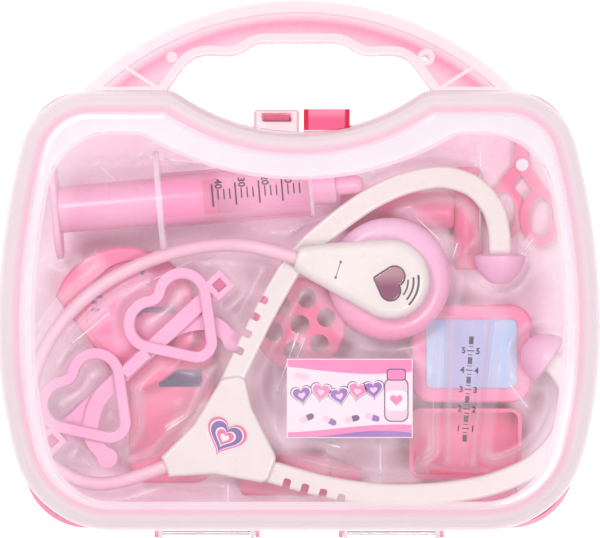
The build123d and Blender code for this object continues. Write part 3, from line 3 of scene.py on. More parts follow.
import bpy
import numpy as np
from bpy.props import FloatProperty, FloatVectorProperty, PointerProperty
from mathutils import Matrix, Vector


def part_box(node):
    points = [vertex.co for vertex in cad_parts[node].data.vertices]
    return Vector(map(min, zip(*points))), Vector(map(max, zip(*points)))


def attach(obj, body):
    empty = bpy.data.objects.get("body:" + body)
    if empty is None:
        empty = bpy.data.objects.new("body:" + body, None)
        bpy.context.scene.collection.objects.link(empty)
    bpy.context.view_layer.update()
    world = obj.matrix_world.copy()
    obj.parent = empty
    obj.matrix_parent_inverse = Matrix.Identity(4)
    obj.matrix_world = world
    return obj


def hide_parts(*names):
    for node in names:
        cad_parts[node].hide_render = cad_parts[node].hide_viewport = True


bl_info = {
    "name": "Toy doctor case",
    "version": (1, 0, 0),
    "blender": (4, 5, 0),
    "location": "View3D > Sidebar > Toy case",
    "description": "Finishes a clear-lidded toy doctor case and the toys packed in it",
    "category": "Object",
}

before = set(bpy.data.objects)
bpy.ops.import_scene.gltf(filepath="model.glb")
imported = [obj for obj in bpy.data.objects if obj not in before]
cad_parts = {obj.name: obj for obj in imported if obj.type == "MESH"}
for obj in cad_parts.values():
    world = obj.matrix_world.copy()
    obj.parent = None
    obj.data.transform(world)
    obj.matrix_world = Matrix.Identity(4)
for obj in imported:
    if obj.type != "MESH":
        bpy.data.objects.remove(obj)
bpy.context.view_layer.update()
MM = 0.001
INK_RISE = 0.05 * MM      # printed ink stands this far off the plastic under it
GRAIN_DEPTH = 0.006 * MM  # of moulded plastic's fine grain


# ---------------------------------------------------------------- colours and nodes
def tone(red, green, blue):
    """A colour written in 0-255 display values, as the linear values a shader takes."""
    display = np.array([red, green, blue]) / 255.0
    linear = np.where(display <= 0.04045, display / 12.92, ((display + 0.055) / 1.055) ** 2.4)
    return (*linear.tolist(), 1.0)


class Tree:
    """A material's node tree, with short calls to add and join nodes."""

    def __init__(self, name):
        self.material = bpy.data.materials.new(name)
        self.material.use_nodes = True
        self.nodes = self.material.node_tree.nodes
        self.links = self.material.node_tree.links
        self.nodes.clear()
        self.out = self.nodes.new("ShaderNodeOutputMaterial")
        self.place = self.nodes.new("ShaderNodeTexCoord").outputs["Object"]

    def add(self, kind, inputs=(), **settings):
        node = self.nodes.new(kind)
        for key, value in settings.items():
            setattr(node, key, value)
        for socket, value in dict(inputs).items():
            if isinstance(value, bpy.types.NodeSocket):
                self.links.new(value, node.inputs[socket])
            else:
                node.inputs[socket].default_value = value
        return node

    def maths(self, operation, first, second=0.0):
        return self.add("ShaderNodeMath", {0: first, 1: second}, operation=operation).outputs[0]

    def noise(self, size, detail=2.0):
        """Even noise whose features are about size metres across."""
        return self.add("ShaderNodeTexNoise", {"Vector": self.place, "Scale": 1.0 / size,
                                               "Detail": detail}).outputs["Fac"]

    def spread(self, value, low, high):
        """The noise value's middle stretch laid over low to high."""
        return self.add("ShaderNodeMapRange", {"Value": value, "From Min": 0.3, "From Max": 0.7,
                                               "To Min": low, "To Max": high}).outputs["Result"]

    def mix(self, share, first, second):
        return self.add("ShaderNodeMix", {"Factor": share, "A": first, "B": second},
                        data_type="RGBA").outputs["Result"]

    def axis(self, name):
        return self.add("ShaderNodeSeparateXYZ", {0: self.place}).outputs[name]

    def facing(self, name):
        """The surface's own outward direction along an axis, -1 to 1."""
        out = self.add("ShaderNodeTexCoord").outputs["Normal"]
        return self.add("ShaderNodeSeparateXYZ", {0: out}).outputs[name]

    def ramp(self, value, start, end, low=0.0, high=1.0):
        """low up to start, high past end, even between."""
        return self.add("ShaderNodeMapRange", {"Value": value, "From Min": start, "From Max": end,
                                               "To Min": low, "To Max": high}).outputs["Result"]

    def pick(self, share, first, second):
        """first where share is 0, second where it is 1."""
        return self.add("ShaderNodeMix", {"Factor": share, 2: first, 3: second}).outputs[0]

    def over(self, value, limit):
        """1 where value is over the limit, 0 elsewhere."""
        return self.maths("GREATER_THAN", value, limit)

    def times(self, first, second):
        return self.maths("MULTIPLY", first, second)

    def between(self, value, low, high):
        """1 where value lies between low and high, 0 elsewhere."""
        return self.times(self.over(value, low), self.maths("LESS_THAN", value, high))

    def bump(self, height, depth, strength=1.0):
        return self.add("ShaderNodeBump", {"Height": height, "Distance": depth,
                                           "Strength": strength}).outputs["Normal"]

    def solid(self, inputs):
        """The material as one principled surface with these inputs."""
        return self.finish(self.add("ShaderNodeBsdfPrincipled", inputs))

    def finish(self, shader):
        self.links.new(shader.outputs[0], self.out.inputs["Surface"])
        return self.material


def moulded(name, colour, rough=0.3, grain=0.35 * MM, shade=0.05, coat=0.15):
    """Moulded plastic: faint flow clouds in the colour, uneven gloss and a fine grain."""
    tree = Tree(name)
    cloud = tree.noise(9 * MM, 3.0)
    dark = tuple(c * (1 - shade) for c in colour[:3]) + (1.0,)
    return tree.solid({
        "Base Color": tree.mix(tree.spread(cloud, 0.0, 1.0), dark, colour),
        "Roughness": tree.spread(tree.noise(2.4 * MM, 4.0), rough - 0.05, rough + 0.07),
        "Normal": tree.bump(tree.noise(grain, 3.0), GRAIN_DEPTH, 0.6),
        "Coat Weight": coat, "Coat Roughness": 0.12})


def clear(name, tint, veil, rough=0.12, body=None, gloss=0.5):
    """Clear thin plastic: what is behind shows through its tint, under a share of milk and gloss,
    and lamps reach what is inside. veil and body are functions of the tree that give the milky
    share, 0 to 1, and the milk's colour; gloss is how much the edges shine."""
    tree = Tree(name)
    edge = tree.add("ShaderNodeFresnel", {"IOR": 1.45}).outputs[0]
    share = tree.maths("MAXIMUM", veil(tree), tree.times(edge, gloss))
    lamp_ray = tree.add("ShaderNodeLightPath").outputs["Is Shadow Ray"]
    open_share = tree.times(share, tree.maths("SUBTRACT", 1.0, lamp_ray))
    through = tree.add("ShaderNodeBsdfTransparent", {"Color": tint})
    skin = tree.add("ShaderNodeBsdfPrincipled", {
        "Base Color": body(tree) if body else tone(253, 248, 251),
        "Roughness": tree.spread(tree.noise(5 * MM, 3.0), rough - 0.04, rough + 0.06),
        "Normal": tree.bump(tree.noise(16 * MM, 2.0), 0.05 * MM, 0.35)})
    return tree.finish(tree.add("ShaderNodeMixShader", {"Fac": open_share, 1: through.outputs[0],
                                                        2: skin.outputs[0]}))


def steel(name):
    """Bright steel with fine turning marks along its length."""
    tree = Tree(name)
    marks = tree.noise(0.25 * MM, 4.0)
    return tree.solid({
        "Base Color": tone(232, 230, 234), "Metallic": 1.0,
        "Roughness": tree.spread(marks, 0.18, 0.34),
        "Normal": tree.bump(marks, 0.004 * MM, 0.5)})


# ---------------------------------------------------------------- surfaces
def put(name, data):
    """A new object in the scene."""
    obj = bpy.data.objects.new(name, data)
    bpy.context.scene.collection.objects.link(obj)
    return obj


def surface(name, points, material, body):
    """A grid of points, rows by columns by xyz in metres, as a mesh of quads, each of which joins
    four neighbours of the grid."""
    index = np.arange(points[..., 0].size).reshape(points.shape[:2])
    quads = np.stack([index[:-1, :-1], index[:-1, 1:], index[1:, 1:], index[1:, :-1]], -1)
    return piece(name, points.reshape(-1, 3), quads.reshape(-1, 4).tolist(), [material], body)


def piece(name, vertices, faces, materials, body, tints=None, smooth=True):
    """A mesh object at the origin that rides on a body; tints gives each face's material."""
    mesh = bpy.data.meshes.new(name)
    mesh.from_pydata(np.asarray(vertices).tolist(), [], faces)
    for material in materials:
        mesh.materials.append(material)
    if tints is not None:
        mesh.polygons.foreach_set("material_index", np.asarray(tints, dtype=np.int32))
    mesh.polygons.foreach_set("use_smooth", np.full(len(faces), smooth))
    mesh.update()
    obj = put(name, mesh)
    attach(obj, body)
    return obj


def finish_nodes(material, *names):
    """Gives CAD nodes a material, in every slot that they have."""
    for name in names:
        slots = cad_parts[name].data.materials
        if len(slots) == 0:
            slots.append(material)
        for number in range(len(slots)):
            slots[number] = material


def finish_plain(*finishes):
    """Gives each group of CAD nodes a moulded plastic: its name, colour, roughness and nodes."""
    for name, colour, rough, nodes in finishes:
        finish_nodes(moulded(name, colour, rough=rough), *nodes.split())


def ribbon(path, width, lift):
    """A flat stroke along a path of u, v points: each point moved half a width to either side of
    the path's direction, laid on a surface by lift(u, v)."""
    step = np.gradient(path, axis=0)
    side = np.stack([-step[:, 1], step[:, 0]], 1) / np.hypot(step[:, 0], step[:, 1])[:, None]
    rows = np.stack([path + side * width / 2, path - side * width / 2], 0)
    count = len(path)
    first = np.arange(count - 1)
    faces = np.stack([first, first + 1, first + 1 + count, first + count], 1)[:, ::-1]
    return lift(rows[..., 0].ravel(), rows[..., 1].ravel()), faces.tolist()


def patch(outline, lift):
    """A filled outline of u, v points, laid on a surface by lift(u, v), as one face."""
    return lift(outline[:, 0], outline[:, 1]), [list(range(len(outline)))]


def straight(start, end, count=9):
    """Evenly spaced points from start to end."""
    return np.linspace(start, end, count)


def arc(centre, radius, start, end, count=24):
    """Points on a circle, from angle start to angle end in degrees."""
    angle = np.radians(np.linspace(start, end, count))
    return np.stack([centre[0] + radius * np.cos(angle), centre[1] + radius * np.sin(angle)], 1)


def turned(x, y, place, turn):
    """u and v of x and y turned by an angle in degrees and moved to a place."""
    angle = radians(turn)
    return place[0] + x * cos(angle) - y * sin(angle), place[1] + x * sin(angle) + y * cos(angle)


def heart_line(centre, width, turn, count=48):
    """A heart outline: x = 16 sin^3 t, y = 13 cos t - 5 cos 2t - 2 cos 3t - cos 4t, scaled to a
    width, turned about its middle and moved to its centre."""
    t = np.linspace(0, tau, count, endpoint=False)[::-1]
    x = 16 * np.sin(t) ** 3
    y = 13 * np.cos(t) - 5 * np.cos(2 * t) - 2 * np.cos(3 * t) - np.cos(4 * t) + 2.5
    return np.stack(turned(x * width / 32.0, y * width / 32.0, centre, turn), 1)


FACE_HEIGHT = 0.7       # of the built-in face's figures at size 1
FACE_BOLDNESS = 0.025   # how far their outlines are set out, at size 1


def figures(text, height, place, turn, lift):
    """Numerals of the built-in face as flat faces: height tall, centred on place, turned."""
    curve = bpy.data.curves.new("figures", "FONT")
    curve.body = text
    curve.size = 1.0
    curve.resolution_u = 3
    curve.offset = FACE_BOLDNESS
    curve.align_x, curve.align_y = "CENTER", "CENTER"
    holder = put("figures", curve)
    mesh = bpy.data.meshes.new_from_object(holder.evaluated_get(bpy.context.evaluated_depsgraph_get()))
    flat = np.empty(len(mesh.vertices) * 3)
    mesh.vertices.foreach_get("co", flat)
    flat = flat.reshape(-1, 3)
    faces = [list(polygon.vertices) for polygon in mesh.polygons]
    bpy.data.objects.remove(holder)
    bpy.data.curves.remove(curve)
    bpy.data.meshes.remove(mesh)
    middle = (flat[:, 1].max() + flat[:, 1].min()) / 2
    x = flat[:, 0] * height / FACE_HEIGHT
    y = (flat[:, 1] - middle) * height / FACE_HEIGHT
    return lift(*turned(x, y, place, turn)), faces


def print_on(name, shapes, materials, body):
    """Joins printed shapes, each (vertices and faces, material number), into one thin piece."""
    vertices, faces, tints, start = [], [], [], 0
    for (points, cells), tint in shapes:
        vertices.append(points)
        faces += [[number + start for number in cell] for cell in cells]
        tints += [tint] * len(cells)
        start += len(points)
    return piece(name, np.vstack(vertices), faces, materials, body, tints, smooth=False)


def flat_at(height):
    """Lays u, v on the level plane at a height."""
    return lambda u, v: np.stack([u, v, np.full_like(u, height)], 1)


# ---------------------------------------------------------------- settings
class CaseSettings(bpy.types.PropertyGroup):
    """Colours and finish of the case."""
    pink: FloatVectorProperty(name="Pink", description="Colour of the back shell", subtype="COLOR",
                              size=4, default=tone(253, 158, 186), min=0, max=1)
    window_milk: FloatProperty(name="Window milk", description="Milky share of the lid's window",
                               default=0.06, min=0, max=1, subtype="FACTOR")
    band_milk: FloatProperty(name="Band milk", description="Milky share of the lid's rounded band",
                             default=0.84, min=0, max=1, subtype="FACTOR")
    handle_milk: FloatProperty(name="Handle milk", description="Milky share of the lid's handle",
                               default=0.8, min=0, max=1, subtype="FACTOR")


class ToySettings(bpy.types.PropertyGroup):
    """Colours of the toys."""
    light_pink: FloatVectorProperty(name="Light pink", description="Colour of the syringe and glasses",
                                    subtype="COLOR", size=4, default=tone(253, 182, 215), min=0, max=1)
    deep_pink: FloatVectorProperty(name="Deep pink", description="Colour of the toys packed below",
                                   subtype="COLOR", size=4, default=tone(254, 120, 168), min=0, max=1)
    ivory: FloatVectorProperty(name="Ivory", description="Colour of the ear arms and yoke",
                               subtype="COLOR", size=4, default=tone(242, 236, 231), min=0, max=1)
    ink: FloatVectorProperty(name="Ink", description="Colour of the printed scales", subtype="COLOR",
                             size=4, default=tone(52, 8, 38), min=0, max=1)


class StageSettings(bpy.types.PropertyGroup):
    """The camera and the studio light."""
    camera_height: FloatProperty(name="Camera height", description="Height over the floor",
                                 default=1.5, unit="LENGTH", min=0.3)
    view_width: FloatProperty(name="View width", description="Width seen where the shells part",
                              default=0.264, unit="LENGTH", min=0.05)
    part_height: FloatProperty(name="Parting height", description="Height where the shells part",
                               default=0.031, unit="LENGTH")


# ---------------------------------------------------------------- case
WINDOW_UNDER = (60.3 * MM, 60.5 * MM)   # heights of the window's underside
WINDOW_STEP = (60.72 * MM, 61.9 * MM)   # and of the wall that it rises by
HANDLE_START = 79.5 * MM                # past the shoulders, in Y
CHANNEL_FLOOR = 33.6 * MM               # the handle's channel lies below this
HANDLE_MIDDLE, CHANNEL_RADIUS = -16.33 * MM, 129.0 * MM   # the channel's arc: centre in Y, radius
LATCH_SIDES = (1.5 * MM, 22.5 * MM)     # in X, of the latch foot
LATCH_NEAR, LATCH_TOP = 60.8 * MM, 53.0 * MM   # it lies past this in Y and below this in Z
TAB_SIDES = (-20.5 * MM, 0.6 * MM)
WINDOW_HALF, WINDOW_BOW = 115.6 * MM, 0.26   # half width where widest, and its sides' bend radius
TAB_MIDDLE, LATCH_MIDDLE = -9.9 * MM, 12.0 * MM


def in_the_dip(tree, sides):
    """1 on what the lid carries in the dip between two places in X, 0 elsewhere."""
    place = tree.times(tree.between(tree.axis("X"), *sides),
                       tree.between(tree.axis("Y"), LATCH_NEAR, HANDLE_START))
    return tree.times(place, tree.maths("LESS_THAN", tree.axis("Z"), LATCH_TOP))


def aside(tree, middle):
    """How far a place is from a middle, in X."""
    return tree.maths("ABSOLUTE", tree.maths("SUBTRACT", tree.axis("X"), middle))


def side_frost(tree):
    """0 in the window's middle, rising to 1 in the last stretch before its bowed sides: the
    distance out is X made positive plus the bow, Y from the widest line squared over a length."""
    offset = tree.maths("SUBTRACT", tree.axis("Y"), -25 * MM)
    bow = tree.maths("DIVIDE", tree.times(offset, offset), 2 * WINDOW_BOW)
    out = tree.maths("ADD", tree.maths("ABSOLUTE", tree.axis("X")), bow)
    return tree.ramp(out, WINDOW_HALF - 15 * MM, WINDOW_HALF)


def channel_haze(tree):
    """Milky share of the handle's channel with painted shading: thickest and whitest at its outer wall,
    least a third of the way in, some again by the grip, as if lit at the rim and shaded in the
    middle. The distance is the root of X squared plus Y from the arc's centre squared."""
    offset = tree.maths("SUBTRACT", tree.axis("Y"), HANDLE_MIDDLE)
    across = tree.axis("X")
    out = tree.maths("SQRT", tree.maths("ADD", tree.times(across, across), tree.times(offset, offset)))
    outer = tree.ramp(out, CHANNEL_RADIUS - 3.6 * MM, CHANNEL_RADIUS, 0.03, 0.5)
    inner = tree.ramp(out, CHANNEL_RADIUS - 10 * MM, CHANNEL_RADIUS - 4.5 * MM, 0.3, 0.03)
    return tree.maths("MAXIMUM", outer, inner)


def lid_veil(settings):
    """Milky share by place: low in the window and rising to its sides, high on its step, on the
    rounded band and on the handle's rims, rising towards +Y on the ledge as a painted reflection,
    hazy in the handle's channel with painted shading, nearly solid on the slotted tab and the latch
    foot."""
    def veil(tree):
        height = tree.axis("Z")
        cloud = tree.spread(tree.noise(34 * MM, 2.0), -0.03, 0.04)
        roll = tree.ramp(height, 38 * MM, 60.2 * MM, settings.band_milk, settings.band_milk * 0.92)
        # Milk rising towards +Y on the ledge: a painted reflection of the light.
        upper = tree.ramp(tree.axis("Y"), -60 * MM, 62 * MM, settings.band_milk * 0.68, 0.8)
        band = tree.pick(tree.over(height, 60.5 * MM), roll, upper)
        window = tree.maths("MAXIMUM", tree.over(height, WINDOW_STEP[1]),
                            tree.between(height, *WINDOW_UNDER))
        pane = tree.maths("ADD", settings.window_milk, tree.times(side_frost(tree), 0.22))
        shell = tree.maths("ADD", tree.pick(window, band, pane), cloud)
        shell = tree.pick(tree.between(height, *WINDOW_STEP), shell, 0.9)
        grip = tree.over(tree.axis("Y"), HANDLE_START)
        handle = tree.pick(tree.over(height, CHANNEL_FLOOR), channel_haze(tree),
                           settings.handle_milk)
        shell = tree.pick(in_the_dip(tree, TAB_SIDES), tree.pick(grip, shell, handle), 0.8)
        return tree.pick(in_the_dip(tree, LATCH_SIDES), shell, 0.94)
    return veil


def lid_milk(tree):
    """Milk colour: white at the rim, pink where the band turns over, lilac white on the ledge; the
    slotted tab is white with a greyer edge, the latch foot hot pink with painted shading: a paler
    top edge as painted light and red ends as painted shade."""
    height = tree.axis("Z")
    shell = tree.mix(tree.ramp(height, 40 * MM, 57 * MM), tone(255, 245, 249), tone(255, 240, 246))
    shell = tree.mix(tree.ramp(height, 58.6 * MM, 60.0 * MM), shell, tone(251, 203, 219))
    shell = tree.mix(tree.ramp(height, 60.2 * MM, 60.5 * MM), shell, tone(244, 240, 250))
    step = tree.ramp(height, WINDOW_STEP[0] - 0.2 * MM, WINDOW_STEP[0])
    shell = tree.mix(step, shell, tone(255, 252, 254))
    border = tree.maths("MAXIMUM", tree.ramp(tree.axis("Y"), 69.6 * MM, 70.0 * MM),
                        tree.ramp(aside(tree, TAB_MIDDLE), 8.6 * MM, 9.0 * MM))
    tab = tree.mix(border, tone(255, 246, 249), tone(232, 206, 216))
    shell = tree.mix(in_the_dip(tree, TAB_SIDES), shell, tab)
    # Painted shading on the latch foot: its top edge is painted paler as if lit, and its ends are
    # painted darker red as shade.
    latch = tree.mix(tree.ramp(tree.axis("Y"), 65.5 * MM, 68.5 * MM),
                     tone(250, 106, 150), tone(255, 150, 178))
    ends = tree.ramp(aside(tree, LATCH_MIDDLE), 7.6 * MM, 8.2 * MM)
    return tree.mix(in_the_dip(tree, LATCH_SIDES), shell, tree.mix(ends, latch, tone(228, 40, 72)))


def shell_pink(pink):
    """Moulded pink with flow clouds and a fine grain, hazy and paler on the floor inside: the pale floor
    is painted light.
    """
    tree = Tree("shell_pink")
    level = tree.over(tree.facing("Z"), 0.6)
    floor = tree.times(level, tree.between(tree.axis("Z"), 1.0 * MM, 4.0 * MM))
    cloud = tree.spread(tree.noise(14 * MM, 3.0), 0.0, 1.0)
    deeper = tuple(c * 0.95 for c in pink[:3]) + (1.0,)
    # The inside floor's pale haze colour is painted light: it brightens the deep floor as if more light
    # reached it.
    floor_haze_and_light = tree.mix(cloud, tone(252, 226, 238), tone(255, 238, 245))
    return tree.solid({
        "Base Color": tree.mix(floor, tree.mix(cloud, deeper, pink), floor_haze_and_light),
        "Roughness": tree.spread(tree.noise(2.4 * MM, 4.0), 0.22, 0.34),
        "Normal": tree.bump(tree.noise(0.5 * MM, 3.0), GRAIN_DEPTH, 0.6),
        "Coat Weight": 0.15})


class TOYCASE_OT_shells(bpy.types.Operator):
    """Finishes the back shell, the lid, the hinges and the latches"""
    bl_idname = "toycase.shells"
    bl_label = "Finish the shells"

    def execute(self, context):
        settings = context.scene.case_settings
        finish_nodes(shell_pink(tuple(settings.pink)), "back_shell")
        lid = clear("lid_clear", (1.0, 0.99, 0.995, 1.0), lid_veil(settings), body=lid_milk)
        finish_nodes(lid, "lid_shell")
        finish_plain(("latch_deep_pink", tone(232, 84, 134), 0.3, "latch_tongue_front"),
                     ("latch_hot_pink", tone(250, 100, 140), 0.3, "latch_tongue_back"))
        finish_nodes(steel("pin_steel"), "hinge_pins", "yoke_screws", "scissors_rivet", "button_cells")
        return {"FINISHED"}


# ---------------------------------------------------------------- tray
TRAY_TOP, TRAY_FOOT = 30.5 * MM, 1.9 * MM
FILM_THICKNESS = 0.3 * MM
FILM_COLUMNS, FILM_ROWS = 251, 157
STEEP_SHARE, BEND_SHARE, DRAWN_AND_GLINT_FROM = 0.12, 1.5, 0.14   # what makes the film whiter where it is steep or bent: painted glints with some stress whitening
SIDE_Y = -25.0 * MM        # the tray is widest here
POCKET_DEPTH = 2.4 * MM    # the film between the toys stands this far over their rest
CELL, MAP_REACH, MAP_BLUR = 1.0 * MM, 0.15, 2.3 * MM   # of the map of what is covered
CREST_WIDTH = 0.42 * MM
PAD_CENTRE = MM * np.array([-33.5, -74.0])
PAD_APOTHEM, PAD_RISE, PAD_LEAN = 14.7 * MM, 5.2 * MM, radians(8)
PACKED_ON_TRAY = ("syringe_barrel", "syringe_plunger", "syringe_nozzle", "syringe_cap", "ear_arm_upper",
                  "ear_arm_lower", "ear_tip_upper", "ear_tip_lower", "yoke_back", "acoustic_tube",
                  "chest_housing", "chest_cover", "medicine_box", "medicine_box_flaps", "measuring_cup",
                  "glasses_front", "temple_left", "temple_right")
PLUNGER_STROKE = MM * np.array([[-40.0, 0.0], [-30.0, 0.0], [-20.0, 0.0], [-10.0, 0.0], [10.0, 0.0],
                                [20.0, 0.0], [30.0, 0.0], [39.5, 0.0]])
BEADS = MM * np.array([   # ends of the beads drawn in the film: x, y to x, y
    [[-43.6, 3.2], [-36.5, 6.3]], [[53.2, 3.6], [65.1, -6.5]], [[92.8, -50.5], [100.3, -60.2]],
    [[-9.7, -52.7], [-0.4, -27.6]], [[-6.9, -54.5], [2.6, -29.6]], [[-31.2, -89.2], [-31.2, -102.4]],
    [[-99.4, -32.0], [-83.2, -18.8]], [[-66.9, -5.6], [-46.6, 4.5]], [[-58.1, -70.3], [-44.9, -61.5]],
    [[50.2, 24.3], [62.0, 13.3]], [[67.3, 4.5], [69.5, 12.0]], [[1.8, -73.4], [18.0, -77.8]],
    [[35.6, -60.2], [35.6, -93.6]], [[-87.6, 45.4], [-81.0, 39.7]], [[79.6, 52.9], [79.6, 15.5]],
    [[88.0, -6.0], [103.0, 14.0]], [[-70.0, 50.0], [-42.0, 47.0]], [[-4.0, 17.0], [12.0, 24.0]]])


def corners_of(node):
    """A CAD node's corners, as rows of x, y, z."""
    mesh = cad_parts[node].data
    flat = np.empty(len(mesh.vertices) * 3)
    mesh.vertices.foreach_get("co", flat)
    return flat.reshape(-1, 3)


def tray_edges(x):
    """Lower and upper edge of the tray at each x, straight between its outline's corners."""
    rim = corners_of("blister_tray")
    apart = np.hypot(*(rim[:, :2] - PAD_CENTRE).T)
    rim = rim[(np.abs(rim[:, 2] - TRAY_TOP) < 0.05 * MM) & (apart > PAD_APOTHEM + 5 * MM)]
    edges = []
    for part in (rim[rim[:, 1] < SIDE_Y + 0.1 * MM], rim[rim[:, 1] > SIDE_Y - 0.1 * MM]):
        part = part[np.argsort(part[:, 0], kind="stable")]
        edges.append(np.interp(x, part[:, 0], part[:, 1]))
    return edges


def ground_under(nodes):
    """Places covered by the nodes, seen from above: every corner, and even steps over the larger
    triangles, each step the mean of the three corners by its shares."""
    steps = 26
    a, b = np.meshgrid(np.arange(steps + 1), np.arange(steps + 1))
    a, b = a[a + b <= steps], b[a + b <= steps]
    shares = np.stack([a, b, steps - a - b], 1) / steps
    places = []
    for node in nodes:
        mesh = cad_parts[node].data
        index = np.empty(len(mesh.loops), dtype=np.int32)
        mesh.loops.foreach_get("vertex_index", index)
        triangles = corners_of(node)[index].reshape(-1, 3, 3)[..., :2]
        span = np.ptp(triangles, axis=1).max(1)
        places.append(triangles.reshape(-1, 2))
        places.append(np.einsum("sk,tkc->tsc", shares, triangles[span > 1.5 * MM]).reshape(-1, 2))
    return np.vstack(places)


def covered_map():
    """Cells that are 1 under a packed toy or past the tray's edge, blurred by a bell curve in the
    frequency domain, so that they fall softly to 0 about 6 mm away."""
    sides = np.arange(-MAP_REACH, MAP_REACH, CELL)
    places = ground_under(PACKED_ON_TRAY)
    plate = ground_under(("syringe_plunger",))[::7]
    sweep = (plate[:, None, :] + PLUNGER_STROKE[None]).reshape(-1, 2)
    counts = np.histogram2d(*np.vstack([places, sweep]).T, bins=(np.append(sides, MAP_REACH),) * 2)[0]
    middle = sides + CELL / 2
    low, high = tray_edges(middle)
    outside = (middle[None] < low[:, None] + CELL) | (middle[None] > high[:, None] - CELL)
    covered = ((counts > 0) | outside).astype(float)
    waves = np.fft.fftfreq(len(sides), CELL)
    bell = np.exp(-2 * (pi * MAP_BLUR) ** 2 * (waves[:, None] ** 2 + waves[None] ** 2))
    return np.fft.ifft2(np.fft.fft2(covered) * bell).real


def nearness(soft, x, y):
    """The blurred map read between its cells, by the shares of the four nearest."""
    across, along = (x + MAP_REACH) / CELL - 0.5, (y + MAP_REACH) / CELL - 0.5
    i, j = across.astype(int), along.astype(int)
    p, q = across - i, along - j
    return ((soft[i, j] * (1 - p) + soft[i + 1, j] * p) * (1 - q)
            + (soft[i, j + 1] * (1 - p) + soft[i + 1, j + 1] * p) * q)


POCKET_START = 0.24        # the film is up to its pocket's depth where the blurred cover is 0
BEAD_START, BEAD_FADE = 0.34, 0.2   # and beads fade out over this span of the cover
BEAD_HEIGHT, BEAD_RADIUS, CREASE_HEIGHT = 1.1 * MM, 1.0 * MM, 0.55 * MM
CREASES = ((20, 47, 0.3), (75, 38, 1.9), (128, 61, 4.1))   # turn in degrees, spacing in mm, phase


def film_height(soft, x, y):
    """Height of the formed film: flat under the toys; between them a smooth step up to the pocket
    depth, with bead rows and creases; and the flat-topped six-sided pad under the yoke."""
    near = nearness(soft, x, y)
    climb = np.clip((POCKET_START - near) / POCKET_START, 0, 1)
    climb = climb**2 * (3 - 2 * climb)
    free = np.clip((BEAD_START - near) / BEAD_FADE, 0, 1)
    beads = np.zeros_like(x)
    for (x0, y0), (x1, y1) in BEADS:
        run_x, run_y = x1 - x0, y1 - y0
        share = np.clip(((x - x0) * run_x + (y - y0) * run_y) / (run_x**2 + run_y**2), 0, 1)
        apart = np.hypot(x - x0 - share * run_x, y - y0 - share * run_y)
        beads += np.exp(-(apart / BEAD_RADIUS) ** 2)
    creases = np.zeros_like(x)
    for turn, length, phase in CREASES:
        east, north = cos(radians(turn)), sin(radians(turn))
        run = (x * east + y * north) / (length * MM)
        bend = 0.9 * np.sin((x * north - y * east) / (1.7 * length * MM) + phase)
        creases += CREASE_HEIGHT * (1 - np.abs(np.sin(pi * run + bend + phase))) ** 5
    out = np.stack([x, y], -1) - PAD_CENTRE
    flats = np.max([np.abs(out @ (cos(turn), sin(turn))) for turn in np.radians((30, 90, 150))], 0)
    pad = np.clip((PAD_APOTHEM - flats) / np.tan(PAD_LEAN), 0, PAD_RISE)
    return TRAY_TOP + np.maximum(climb * (POCKET_DEPTH + creases) + BEAD_HEIGHT * free * beads, pad)


def film_clear():
    """Clear formed film: hardly there where it is level, whiter where it is steep or creased, which is
    painted glints with some stress whitening.
    """
    def veil(tree):
        # Whiter where the film is steep or bent: painted glints, with some stress whitening.
        drawn_and_glint = tree.add("ShaderNodeAttribute", attribute_name="drawn_and_glint").outputs["Fac"]
        cloud = tree.spread(tree.noise(26 * MM, 3.0), 0.01, 0.07)
        return tree.maths("MINIMUM", tree.maths("ADD", cloud, tree.times(drawn_and_glint, 0.34)), 0.6)
    return clear("tray_clear", (0.995, 0.98, 0.99, 1.0), veil, rough=0.1,
                 body=lambda tree: tree.mix(tree.spread(tree.noise(40 * MM, 2.0), 0.0, 1.0),
                                            tone(250, 240, 250), tone(255, 248, 252)))


